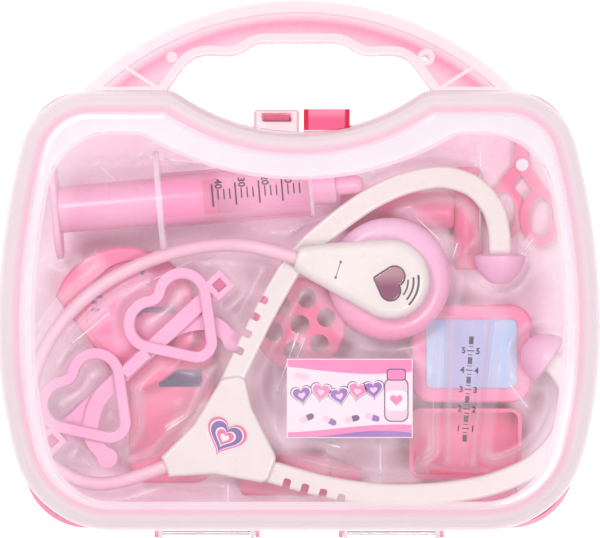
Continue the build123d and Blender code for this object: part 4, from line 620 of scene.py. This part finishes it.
class TOYCASE_OT_tray(bpy.types.Operator):
    """Forms the clear film tray between the two layers of toys"""
    bl_idname = "toycase.tray"
    bl_label = "Form the tray"

    def execute(self, context):
        material = film_clear()
        finish_nodes(material, "blister_tray")
        edge = corners_of("blister_tray")[:, 0].max() - 0.02 * MM
        run = np.linspace(-1, 1, FILM_COLUMNS)
        x = edge * (0.6 * run + 0.4 * np.sin(pi / 2 * run))
        low, high = tray_edges(x)
        y = low + (high - low) * np.linspace(0, 1, FILM_ROWS)[:, None]
        x = np.broadcast_to(x, y.shape)
        soft = covered_map()
        z = film_height(soft, x, y)
        z[[0, -1]], z[:, [0, -1]] = TRAY_TOP, TRAY_TOP
        slope_y = np.gradient(z, axis=0) / np.maximum(np.gradient(y, axis=0), 0.3 * MM)
        slope_x = np.gradient(z, axis=1) / np.maximum(np.gradient(x, axis=1), 0.3 * MM)
        steep = np.hypot(slope_x, slope_y)
        bend = np.abs(np.gradient(slope_x, axis=1)) + np.abs(np.gradient(slope_y, axis=0))
        # The film's whitening by steepness and bend: painted glints along its walls and creases, with
        # some stress whitening.
        drawn_and_glint = np.clip(STEEP_SHARE * steep + BEND_SHARE * bend - DRAWN_AND_GLINT_FROM, 0, 1)
        for axis in (0, 1, 0, 1):
            drawn_and_glint = (np.roll(drawn_and_glint, 1, axis) + 2 * drawn_and_glint + np.roll(drawn_and_glint, -1, axis)) / 4
        film = np.pad(np.stack([x, y, z], -1), ((1, 1), (1, 1), (0, 0)), mode="edge")
        film[[0, -1], :, 2] = TRAY_FOOT
        film[:, [0, -1], 2] = TRAY_FOOT
        tray = surface("tray_film", film, material, "root")
        values = tray.data.attributes.new("drawn_and_glint", "FLOAT", "POINT")
        values.data.foreach_set("value", np.pad(drawn_and_glint, 1).ravel())
        wall = tray.modifiers.new("film", "SOLIDIFY")
        wall.thickness, wall.offset = FILM_THICKNESS, -1.0
        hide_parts("blister_tray")

        def on_crest(u, v):
            """Just over the film's top."""
            return np.stack([u, v, film_height(soft, u, v) + INK_RISE * 3], 1)

        # Thin white lines along the bead crests: painted glints on the film.
        crest_glints = [(ribbon(straight(start, end, 40), CREST_WIDTH, on_crest), 0) for start, end in BEADS]
        white = moulded("crest_painted_glint", tone(255, 250, 253), rough=0.15, coat=0.6)
        print_on("film_crest_glints", crest_glints, [white], "root")
        return {"FINISHED"}


# ---------------------------------------------------------------- stethoscope
TUBE_ROUTE = MM * np.array([
    (-58.3, -85.6, 42.2), (-69.49, -89.92, 42.2), (-85.5, -94.4, 39.4), (-101.0, -91.2, 36.2),
    (-113.2, -81.8, 34.3), (-118.6, -66.5, 34.0), (-117.6, -49.0, 34.1), (-110.6, -31.2, 34.0),
    (-99.4, -16.6, 34.2), (-84.6, -4.6, 34.0), (-67.6, 3.8, 34.1), (-50.2, 9.2, 38.2),
    (-32.4, 11.6, 45.6), (-16.0, 9.9, 51.5), (-1.0, 5.2, 51.5)])
TUBE_DIAMETER = 6.0 * MM
COVER_TOP = 57.0 * MM
SOUND_CENTRE = (36.9 * MM, -4.6 * MM)
BADGE_TURN = -25.0
BADGE_SIZE = 18.5 * MM
BADGE_HEARTS = ((0.96, 1), (0.84, 2), (0.78, 0), (0.5, 2), (0.42, 1), (0.22, 2))   # share, ink
SOUND_WAVES = ((10.2, -37, 3, 0.75), (12.6, -41, 7, 0.85), (14.8, -45, 10, 0.95))   # mm, degrees, mm


class TOYCASE_OT_hose(bpy.types.Operator):
    """Lays the stethoscope's soft tube from the yoke round to the chest piece"""
    bl_idname = "toycase.hose"
    bl_label = "Lay the hose"

    def execute(self, context):
        curve = bpy.data.curves.new("acoustic_hose", "CURVE")
        curve.dimensions = "3D"
        curve.bevel_depth = TUBE_DIAMETER / 2
        curve.bevel_resolution = 6
        curve.resolution_u = 16
        curve.use_fill_caps = True
        spline = curve.splines.new("NURBS")
        spline.points.add(len(TUBE_ROUTE) - 1)
        weighted = np.column_stack([TUBE_ROUTE, np.ones(len(TUBE_ROUTE))])
        spline.points.foreach_set("co", weighted.ravel())
        spline.order_u = 3
        spline.use_endpoint_u = True
        soft = moulded("hose_pink", tone(254, 210, 226), rough=0.42, grain=0.6 * MM, coat=0.05)
        curve.materials.append(soft)
        hose = put("acoustic_hose", curve)
        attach(hose, "root")
        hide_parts("acoustic_tube")
        return {"FINISHED"}


class TOYCASE_OT_stethoscope(bpy.types.Operator):
    """Finishes the stethoscope and prints its chest cover and badge"""
    bl_idname = "toycase.stethoscope"
    bl_label = "Finish the stethoscope"

    def execute(self, context):
        settings = context.scene.toy_settings
        ivory = moulded("ivory", tuple(settings.ivory), rough=0.3, shade=0.03)
        finish_nodes(ivory, "ear_arm_upper", "ear_arm_lower", "yoke_front", "yoke_back", "chest_cover")
        finish_nodes(chest_pink(), "chest_housing", "chest_back_cover")
        finish_nodes(heart_plum(), "heart_button")
        finish_plain(("ear_tip_pink", tone(252, 192, 224), 0.4, "ear_tip_upper ear_tip_lower"),
                     ("badge_white", tone(250, 238, 244), 0.3, "yoke_badge"),
                     ("board_green", tone(40, 110, 70), 0.5, "sound_board"),
                     ("speaker_black", tone(40, 40, 42), 0.6, "speaker"),
                     ("pad_pink", tone(235, 150, 180), 0.6, "switch_pad syringe_seal"))
        grey = moulded("print_grey", tone(70, 66, 74), rough=0.45, shade=0.1)
        top = flat_at(COVER_TOP + INK_RISE)
        waves = [(ribbon(arc(SOUND_CENTRE, radius * MM, low, high), width * MM, top), 0)
                 for radius, low, high, width in SOUND_WAVES]
        line = straight((18.0 * MM, 3.6 * MM), (15.8 * MM, -3.2 * MM))
        dots = [(patch(arc(end, 0.55 * MM, 0, 345, 16), top), 0) for end in (line[0], line[-1])]
        print_on("chest_print", waves + [(ribbon(line, 0.35 * MM, top), 0)] + dots, [grey], "root")
        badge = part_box("yoke_badge")
        middle = ((badge[0].x + badge[1].x) / 2, (badge[0].y + badge[1].y) / 2)
        plum = moulded("print_plum", tone(122, 92, 172), rough=0.35)
        hot = moulded("print_hot_pink", tone(240, 110, 160), rough=0.35)
        white = moulded("print_white", tone(252, 244, 248), rough=0.35)
        shapes = [(patch(heart_line(middle, BADGE_SIZE * share, BADGE_TURN),
                         flat_at(badge[1].z + (level + 1) * INK_RISE)), tint)
                  for level, (share, tint) in enumerate(BADGE_HEARTS)]
        print_on("badge_print", shapes, [plum, hot, white], "root")
        return {"FINISHED"}


def chest_pink():
    """Pink that goes from a light lilac pink at the top edge to a stronger pink below, partly the
    plastic's own tone and partly painted light on its upper side.
    """
    tree = Tree("chest_pink")
    # Lighter towards +Y: partly painted light on the top edge.
    share = tree.ramp(tree.axis("Y"), -28 * MM, 16 * MM)
    return tree.solid({
        "Base Color": tree.mix(share, tone(252, 168, 200), tone(252, 200, 232)),
        "Roughness": tree.spread(tree.noise(3 * MM, 3.0), 0.24, 0.34),
        "Normal": tree.bump(tree.noise(0.4 * MM, 3.0), 0.005 * MM, 0.5),
        "Coat Weight": 0.2})


def heart_plum():
    """Smoky plum lens with painted light: a painted highlight over its upper lobe, painted shade on its
    sloping sides and a painted glow in its flat middle.
    """
    tree = Tree("heart_plum")
    # Paler over the upper lobe: a painted highlight.
    upper = tree.ramp(tree.axis("Y"), -7 * MM, -2 * MM)
    return tree.solid({
        # Dark where the sides slope away, lighter on the flat top: painted shade and a painted inner
        # glow.
        "Base Color": tree.mix(tree.ramp(tree.facing("Z"), 0.75, 0.98), tone(84, 34, 64),
                               tree.mix(upper, tone(138, 62, 104), tone(186, 140, 150))),
        "Roughness": tree.spread(tree.noise(2 * MM, 3.0), 0.07, 0.16),
        "Coat Weight": 0.6})


# ---------------------------------------------------------------- syringe and cup
SYRINGE_START = MM * np.array([-62.0, 30.0, 43.4])
SYRINGE_TILT = radians(4.9)
BARREL_RADIUS = 12.1 * MM
LONG_MARKS = {"40": 24.6, "30": 34.7, "20": 44.9, "10": 54.9}  # from the flange, in millimetres
MARK_PITCH = 2.52
FLANGE_END, WALL_START = 2.7 * MM, 66.6 * MM   # stations of the barrel's bright ends
SYRINGE_FIGURE, CUP_FIGURE = 3.0 * MM, 2.6 * MM   # heights of the figures
CUP_FOOT = MM * np.array([70.0, -87.4, 44.7])
CUP_LIP = MM * np.array([74.4, -20.6, 44.7])
CUP_LOW_RADIUS, CUP_HIGH_RADIUS = 7.6 * MM, 11.0 * MM
FIRST_FIGURE = 18.9   # from the foot to the figure 1, in millimetres
FIGURE_PITCH = 8.45
SCALE_SIDE = 0.8      # how far the cup's scale is printed to the side of its middle, in millimetres
BAR_WIDTH = 1.9       # of the bars between its figures, in millimetres


def stroke(start, end, width, lift):
    """A straight printed mark, with its ends and width in millimetres."""
    return ribbon(straight(np.array(start) * MM, np.array(end) * MM), width * MM, lift)


def on_barrel(u, v):
    """u along the syringe and v across it, seen from above, laid on the barrel: the height over
    the axis is the square root of radius squared less v squared."""
    radius = BARREL_RADIUS + INK_RISE
    along = np.array([cos(SYRINGE_TILT), sin(SYRINGE_TILT)])
    across = np.array([-sin(SYRINGE_TILT), cos(SYRINGE_TILT)])
    flat = SYRINGE_START[:2] + u[:, None] * along + v[:, None] * across
    return np.column_stack([flat, SYRINGE_START[2] + np.sqrt(radius**2 - v**2)])


def on_cup(u, v):
    """u across the cup and v from its foot along its axis, laid on the cone: its radius grows
    evenly from foot to lip."""
    axis = CUP_LIP[:2] - CUP_FOOT[:2]
    length = np.hypot(*axis)
    along = axis / length
    across = np.array([along[1], -along[0]])
    radius = CUP_LOW_RADIUS + (CUP_HIGH_RADIUS - CUP_LOW_RADIUS) * v / length + INK_RISE
    flat = CUP_FOOT[:2] + v[:, None] * along + u[:, None] * across
    return np.column_stack([flat, CUP_FOOT[2] + np.sqrt(radius**2 - u**2)])


def station_of(tree):
    """How far a place is along the syringe from its flange: its x and y on the syringe's axis."""
    x, y = (tree.times(tree.maths("SUBTRACT", tree.axis(name), float(start)), share)
            for name, start, share in (("X", SYRINGE_START[0], cos(SYRINGE_TILT)),
                                       ("Y", SYRINGE_START[1], sin(SYRINGE_TILT))))
    return tree.maths("ADD", x, y)


def flange_mask(tree):
    """1 on the finger flange and the barrel's end, which look bright, 0 between."""
    station = station_of(tree)
    return tree.maths("MAXIMUM", tree.maths("LESS_THAN", station, FLANGE_END),
                      tree.over(station, WALL_START))


def barrel_veil(tree):
    """Milky share: high on the flange and end wall, low along the barrel."""
    return tree.pick(flange_mask(tree), tree.spread(tree.noise(12 * MM), 0.10, 0.17), 0.5)


class TOYCASE_OT_measures(bpy.types.Operator):
    """Finishes the syringe and the measuring cup and prints their scales"""
    bl_idname = "toycase.measures"
    bl_label = "Finish the syringe and cup"

    def execute(self, context):
        settings = context.scene.toy_settings
        light = moulded("light_pink", tuple(settings.light_pink), rough=0.3)
        finish_nodes(light, "syringe_plunger", "syringe_nozzle", "syringe_cap")
        barrel = clear("barrel_clear", (1.0, 0.93, 0.965, 1.0), barrel_veil, rough=0.09,
                       body=lambda tree: tree.mix(flange_mask(tree), tone(253, 204, 226),
                                                  tone(252, 246, 252)))
        cup = clear("cup_clear", (0.99, 0.96, 0.98, 1.0),
                    lambda tree: tree.spread(tree.noise(12 * MM), 0.03, 0.07), rough=0.08, gloss=0.22)
        finish_nodes(barrel, "syringe_barrel")
        finish_nodes(cup, "measuring_cup")
        ink = moulded("scale_ink", tuple(settings.ink), rough=0.5, shade=0.12)
        shapes = []
        for figure, station in LONG_MARKS.items():
            shapes.append((stroke((station, -4.6), (station, 5.1), 0.72, on_barrel), 0))
            for at in station + MARK_PITCH * np.arange(1, 4):
                shapes.append((stroke((at, -1.9), (at, 2.6), 0.6, on_barrel), 0))
            place = ((station + 2.9) * MM, 5.0 * MM)
            shapes.append((figures(figure, SYRINGE_FIGURE, place, -90, on_barrel), 0))
        print_on("syringe_scale", shapes, [ink], "root")
        marks = []
        for figure in range(1, 6):
            middle = FIRST_FIGURE + (figure - 1) * FIGURE_PITCH
            for off, half, thick in ((0, 1.45, 0.5), (-1.8, 0.95, 0.42), (1.8, 0.95, 0.42)):
                ends = ((SCALE_SIDE - half, middle + off), (SCALE_SIDE + half, middle + off))
                marks.append((stroke(*ends, thick, on_cup), 0))
            marks.append((stroke((SCALE_SIDE, middle - 5.8), (SCALE_SIDE, middle - 2.8), BAR_WIDTH,
                                 on_cup), 0))
            for off in (-3.0, 3.2):
                place = ((SCALE_SIDE + off) * MM, middle * MM)
                marks.append((figures(str(figure), CUP_FIGURE, place, 0, on_cup), 0))
        marks.append((stroke((SCALE_SIDE, middle + 2.8), (SCALE_SIDE, middle + 6.3), BAR_WIDTH,
                             on_cup), 0))
        print_on("cup_scale", marks, [ink], "root")
        return {"FINISHED"}


# ---------------------------------------------------------------- other toys
GLASSES_CENTRE = MM * np.array([-71.5, -40.6])
GLASSES_TURN = 42.9
LUG_OUT = 50.0 * MM
HOLE_HALF = 1.95 * MM


class TOYCASE_OT_toys(bpy.types.Operator):
    """Finishes the glasses and the toys packed under the tray"""
    bl_idname = "toycase.toys"
    bl_label = "Finish the toys"

    def execute(self, context):
        settings = context.scene.toy_settings
        along = np.array([cos(radians(GLASSES_TURN)), sin(radians(GLASSES_TURN))])
        across = np.array([-along[1], along[0]])
        front_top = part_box("glasses_front")[1].z
        # Deep pink squares on the lugs, over the temple posts: painted shade in the hinge recesses.
        hole_shades = []
        for side in (-1, 1):
            middle = GLASSES_CENTRE + side * LUG_OUT * along
            square = np.array([middle + HOLE_HALF * (a * along + b * across)
                               for a, b in ((-1, -1), (1, -1), (1, 1), (-1, 1))])
            hole_shades.append((patch(square, flat_at(front_top + INK_RISE)), 0))
        print_on("lug_hole_shades", hole_shades, [moulded("hole_shade_pink", tone(226, 84, 148), rough=0.5)], "root")
        deep = moulded("packed_pink", tuple(settings.deep_pink), rough=0.32)
        finish_nodes(deep, "perforated_cap", "small_dish", "tongue_spatula", "otoscope_handle",
                     "otoscope_cone", "reflex_hammer_handle", "reflex_hammer_head", "scissors_lower",
                     "scissors_upper", "thermometer_body", "pulse_meter_body")
        finish_plain(("glasses_pink", tone(252, 184, 220), 0.3,
                      "glasses_front temple_left temple_right"),
                     ("viewer_pink", tone(254, 140, 180), 0.3, "picture_frame"),
                     ("dial_pink", tone(252, 130, 182), 0.35, "pulse_meter_dial"),
                     ("pointer_plum", tone(120, 60, 140), 0.3, "pulse_meter_pointer"))
        display = moulded("display_blue", tone(48, 10, 104), rough=0.15, coat=0.5)
        finish_nodes(display, "thermometer_display")
        dial_low, dial_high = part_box("pulse_meter_dial")
        middle = np.array([(dial_low.x + dial_high.x) / 2, (dial_low.y + dial_high.y) / 2])
        outward = [np.array([cos(radians(turn)), sin(radians(turn))]) for turn in range(80, 181, 10)]
        ticks = [(ribbon(straight(middle + inner * MM * out, middle + 19.8 * MM * out), 1.5 * MM,
                         flat_at(dial_high.z + INK_RISE)), 0)
                 for out, inner in zip(outward, (15.6, 17.4) * 5 + (15.6,))]
        purple = moulded("tick_purple", tone(96, 52, 168), rough=0.4)
        print_on("dial_ticks", ticks, [purple], "root")
        return {"FINISHED"}


NEAR_WATER, SHORE, HORIZON = -73 * MM, -62 * MM, -58 * MM   # of the card's picture, in Y
HILL_WAVES, HILL_RISE, HILL_LINE = 420.0, 2.2 * MM, -60 * MM   # radians per metre, rise, middle in Y


def picture_paper():
    """Card with pale sky over blue water: soft level bands, two snowy hills and small ripples."""
    tree = Tree("picture_paper")
    height = tree.axis("Y")
    ripple = tree.spread(tree.noise(4 * MM, 2.0), -0.9 * MM, 0.9 * MM)
    level = tree.maths("ADD", height, ripple)
    water = tree.ramp(level, SHORE, HORIZON)
    blue = tree.mix(tree.ramp(level, NEAR_WATER, SHORE), tone(72, 150, 222), tone(112, 184, 236))
    rise = tree.times(tree.maths("SINE", tree.times(tree.axis("X"), HILL_WAVES)), HILL_RISE)
    hill = tree.maths("SUBTRACT", rise, tree.maths("SUBTRACT", height, HILL_LINE))
    snow = tree.times(tree.over(hill, 0.0), tree.over(height, SHORE))
    picture = tree.mix(snow, tree.mix(water, blue, tone(178, 220, 246)), tone(240, 250, 254))
    return tree.solid({
        "Base Color": picture, "Roughness": tree.spread(tree.noise(1.5 * MM), 0.35, 0.45),
        "Normal": tree.bump(tree.noise(0.3 * MM), 0.003 * MM, 0.4)})


BOX_INKS = (("hot_pink", tone(250, 132, 192)), ("pale_pink", tone(253, 214, 232)),
            ("purple", tone(150, 98, 190)), ("white", tone(253, 248, 251)), ("plum", tone(112, 66, 118)))
# shares of the box's width and depth, then a turn in degrees, and a capsule's first ink
BOX_HEARTS = ((0.12, 0.53, 10), (0.27, 0.57, -8), (0.42, 0.52, 12), (0.56, 0.58, -10),
              (0.69, 0.60, 6))
BOX_CAPSULES = ((0.16, 0.25, 25, 4), (0.34, 0.22, -30, 2), (0.52, 0.24, 14, 4), (0.12, 0.78, -12, 1),
                (0.68, 0.26, -18, 2))
CAPSULE_SIZE = (6.4 * MM, 2.6 * MM)
# the bottle's share of the width, and its blocks: share of the depth, width and height in mm, ink
BOTTLE_ACROSS = 0.87
BOX_BOTTLE = ((0.48, 10.6, 19.0, 4), (0.48, 9.6, 18.0, 1), (0.47, 9.6, 9.0, 3), (0.80, 8.4, 5.2, 4),
              (0.80, 7.4, 4.2, 0))


def capsule(place, length, thick, turn):
    """A stadium in two halves, one for each colour of the capsule."""
    halves = []
    for side in (1, -1):
        t = np.radians(np.linspace(-90, 90, 14))
        x = np.concatenate([[0.0], side * (length / 2 - thick / 2 + thick / 2 * np.cos(t)), [0.0]])
        y = np.concatenate([[-thick / 2 * side], thick / 2 * np.sin(t) * side, [thick / 2 * side]])
        halves.append(np.stack(turned(x, y, place, turn), 1))
    return halves


def rounded_block(place, wide, tall):
    """A box with rounded corners, as an outline."""
    corner = min(wide, tall) * 0.28
    return np.vstack([arc((place[0] + a * (wide / 2 - corner), place[1] + b * (tall / 2 - corner)),
                          corner, start, start + 90, 6)
                      for a, b, start in ((1, 1, 0), (-1, 1, 90), (-1, -1, 180), (1, -1, 270))])


class TOYCASE_OT_prints(bpy.types.Operator):
    """Prints the medicine box and the picture card"""
    bl_idname = "toycase.prints"
    bl_label = "Print the box and card"

    def execute(self, context):
        low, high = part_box("medicine_box")
        card = moulded("box_card", tone(250, 240, 246), rough=0.4, shade=0.03, coat=0.3)
        finish_nodes(card, "medicine_box", "medicine_box_flaps")
        finish_nodes(picture_paper(), "picture_card")
        tints = [moulded("box_" + name, colour, rough=0.38, coat=0.3) for name, colour in BOX_INKS]
        width, depth = high.x - low.x, high.y - low.y
        margin = 0.4 * MM

        def on_top(level):
            return flat_at(high.z + (level + 1) * INK_RISE)

        def spot(share_x, share_y):
            """A place on the box's top, by its shares of the width and depth."""
            return low.x + share_x * width, low.y + share_y * depth

        def wave_band(base, rise, waves, phase, floor):
            """Area from a floor line up to base plus rise times a sine of that many waves."""
            x = np.linspace(margin, width - margin, 40)
            top = base + rise * np.sin(waves * tau * x / width + phase)
            return np.vstack([np.stack([low.x + x, low.y + np.full_like(x, floor)], 1),
                              np.stack([low.x + x, low.y + top], 1)[::-1]])

        shapes = [(patch(wave_band(depth * 0.12, depth * 0.05, 0.55, -1.4, margin), on_top(0)), 0),
                  (patch(wave_band(depth * 0.05, depth * 0.04, 0.8, -2.2, margin), on_top(1)), 2),
                  (patch(wave_band(depth * 0.87, depth * 0.06, 0.5, 2.6, depth - margin),
                         on_top(0)), 0)]
        for number, (across, up, turn) in enumerate(BOX_HEARTS):
            layers = ((9.6, 4), (8.8, 3), (7.6, 0 if number % 2 else 2), (3.2, 1))
            for level, (size, tint) in enumerate(layers):
                outline = heart_line(spot(across, up), size * MM, turn)
                shapes.append((patch(outline, on_top(2 + level)), tint))
        for across, up, turn, first in BOX_CAPSULES:
            for outline, tint in zip(capsule(spot(across, up), *CAPSULE_SIZE, turn), (first, 1)):
                shapes.append((patch(outline, on_top(2)), tint))
        for level, (up, wide, tall, tint) in enumerate(BOX_BOTTLE):
            outline = rounded_block(spot(BOTTLE_ACROSS, up), wide * MM, tall * MM)
            shapes.append((patch(outline, on_top(2 + level)), tint))
        shapes.append((patch(heart_line(spot(BOTTLE_ACROSS, 0.47), 5.4 * MM, 0), on_top(8)), 0))
        print_on("box_print", shapes, tints, "root")
        return {"FINISHED"}


# ---------------------------------------------------------------- stage
FLOOR_REACH, FLOOR_DROP = 3.0, 0.2 * MM
LAMPS = (("key", (-0.46, 0.5, 1.9), 0.6, 14.0),   # name, place, width, watts
         ("fill", (0.5, -0.44, 1.9), 0.6, 10.6))
SKY_LEVEL, FLOOR_GLOW = 0.40, 0.95
CAMERA_PLACE = (0.0004, 0.0005)   # in X and Y
SENSOR_WIDTH = 36.0               # in millimetres
CLEAR_LAYERS = 24   # a ray passes the lid, the film, the cup and the toys under them


class TOYCASE_OT_stage(bpy.types.Operator):
    """Sets the pale floor, the soft studio light and the camera over the case"""
    bl_idname = "toycase.stage"
    bl_label = "Set the stage"

    def execute(self, context):
        settings = context.scene.stage_settings
        mesh = bpy.data.meshes.new("floor")
        mesh.from_pydata([(x * FLOOR_REACH, y * FLOOR_REACH, 0.0)
                          for x, y in ((-1, -1), (1, -1), (1, 1), (-1, 1))], [], [(0, 1, 2, 3)])
        mesh.materials.append(floor_white())
        floor = put("floor", mesh)
        floor.location.z = -FLOOR_DROP
        for name, place, size, power in LAMPS:
            lamp = bpy.data.lights.new(name, "AREA")
            lamp.shape, lamp.size, lamp.energy = "DISK", size, power
            light = put(name, lamp)
            light.location = place
            light.rotation_euler = (Vector(place) * -1).to_track_quat("-Z", "Y").to_euler()
        world = context.scene.world or bpy.data.worlds.new("studio")
        context.scene.world = world
        world.use_nodes = True
        background = world.node_tree.nodes["Background"]
        background.inputs["Color"].default_value = (1.0, 1.0, 1.0, 1.0)
        background.inputs["Strength"].default_value = SKY_LEVEL
        lens = bpy.data.cameras.new("camera")
        lens.sensor_width = SENSOR_WIDTH
        lens.lens = SENSOR_WIDTH * (settings.camera_height - settings.part_height) / settings.view_width
        lens.clip_end = 20.0
        camera = put("camera", lens)
        camera.location = (*CAMERA_PLACE, settings.camera_height)
        context.scene.camera = camera
        context.scene.view_settings.view_transform = "Standard"
        context.scene.cycles.transparent_max_bounces = CLEAR_LAYERS
        return {"FINISHED"}


def floor_white():
    """Matte white that also shows as pure white where the eye, a gloss or glass looks at it."""
    tree = Tree("floor_white")
    rays = tree.add("ShaderNodeLightPath").outputs
    seen = tree.maths("MAXIMUM", rays["Is Camera Ray"],
                      tree.maths("MAXIMUM", rays["Is Glossy Ray"], rays["Is Transmission Ray"]))
    glow = tree.add("ShaderNodeEmission", {"Color": (1.0, 1.0, 1.0, 1.0), "Strength": FLOOR_GLOW})
    matte = tree.add("ShaderNodeBsdfDiffuse", {"Color": tone(250, 248, 249)})
    both = tree.add("ShaderNodeAddShader", {0: glow.outputs[0], 1: matte.outputs[0]})
    return tree.finish(tree.add("ShaderNodeMixShader", {"Fac": seen, 1: matte.outputs[0],
                                                        2: both.outputs[0]}))


class TOYCASE_PT_panel(bpy.types.Panel):
    """Lists the steps that finish the toy case"""
    bl_idname = "TOYCASE_PT_panel"
    bl_label = "Toy case"
    bl_space_type = "VIEW_3D"
    bl_region_type = "UI"
    bl_category = "Toy case"

    def draw(self, context):
        for settings in (context.scene.case_settings, context.scene.toy_settings,
                         context.scene.stage_settings):
            for name in settings.__annotations__:
                self.layout.prop(settings, name)
        for step in STEPS:
            self.layout.operator(step.bl_idname)


STEPS = (TOYCASE_OT_stage, TOYCASE_OT_hose, TOYCASE_OT_shells, TOYCASE_OT_tray, TOYCASE_OT_stethoscope,
         TOYCASE_OT_measures, TOYCASE_OT_toys, TOYCASE_OT_prints)
CLASSES = (CaseSettings, ToySettings, StageSettings, *STEPS, TOYCASE_PT_panel)


def register():
    for item in CLASSES:
        bpy.utils.register_class(item)
    bpy.types.Scene.case_settings = PointerProperty(type=CaseSettings)
    bpy.types.Scene.toy_settings = PointerProperty(type=ToySettings)
    bpy.types.Scene.stage_settings = PointerProperty(type=StageSettings)


def unregister():
    del bpy.types.Scene.stage_settings
    del bpy.types.Scene.toy_settings
    del bpy.types.Scene.case_settings
    for item in reversed(CLASSES):
        bpy.utils.unregister_class(item)


def main():
    register()
    for step in STEPS:
        group, name = step.bl_idname.split(".")
        getattr(getattr(bpy.ops, group), name)()


if __name__ == "__main__":
    main()
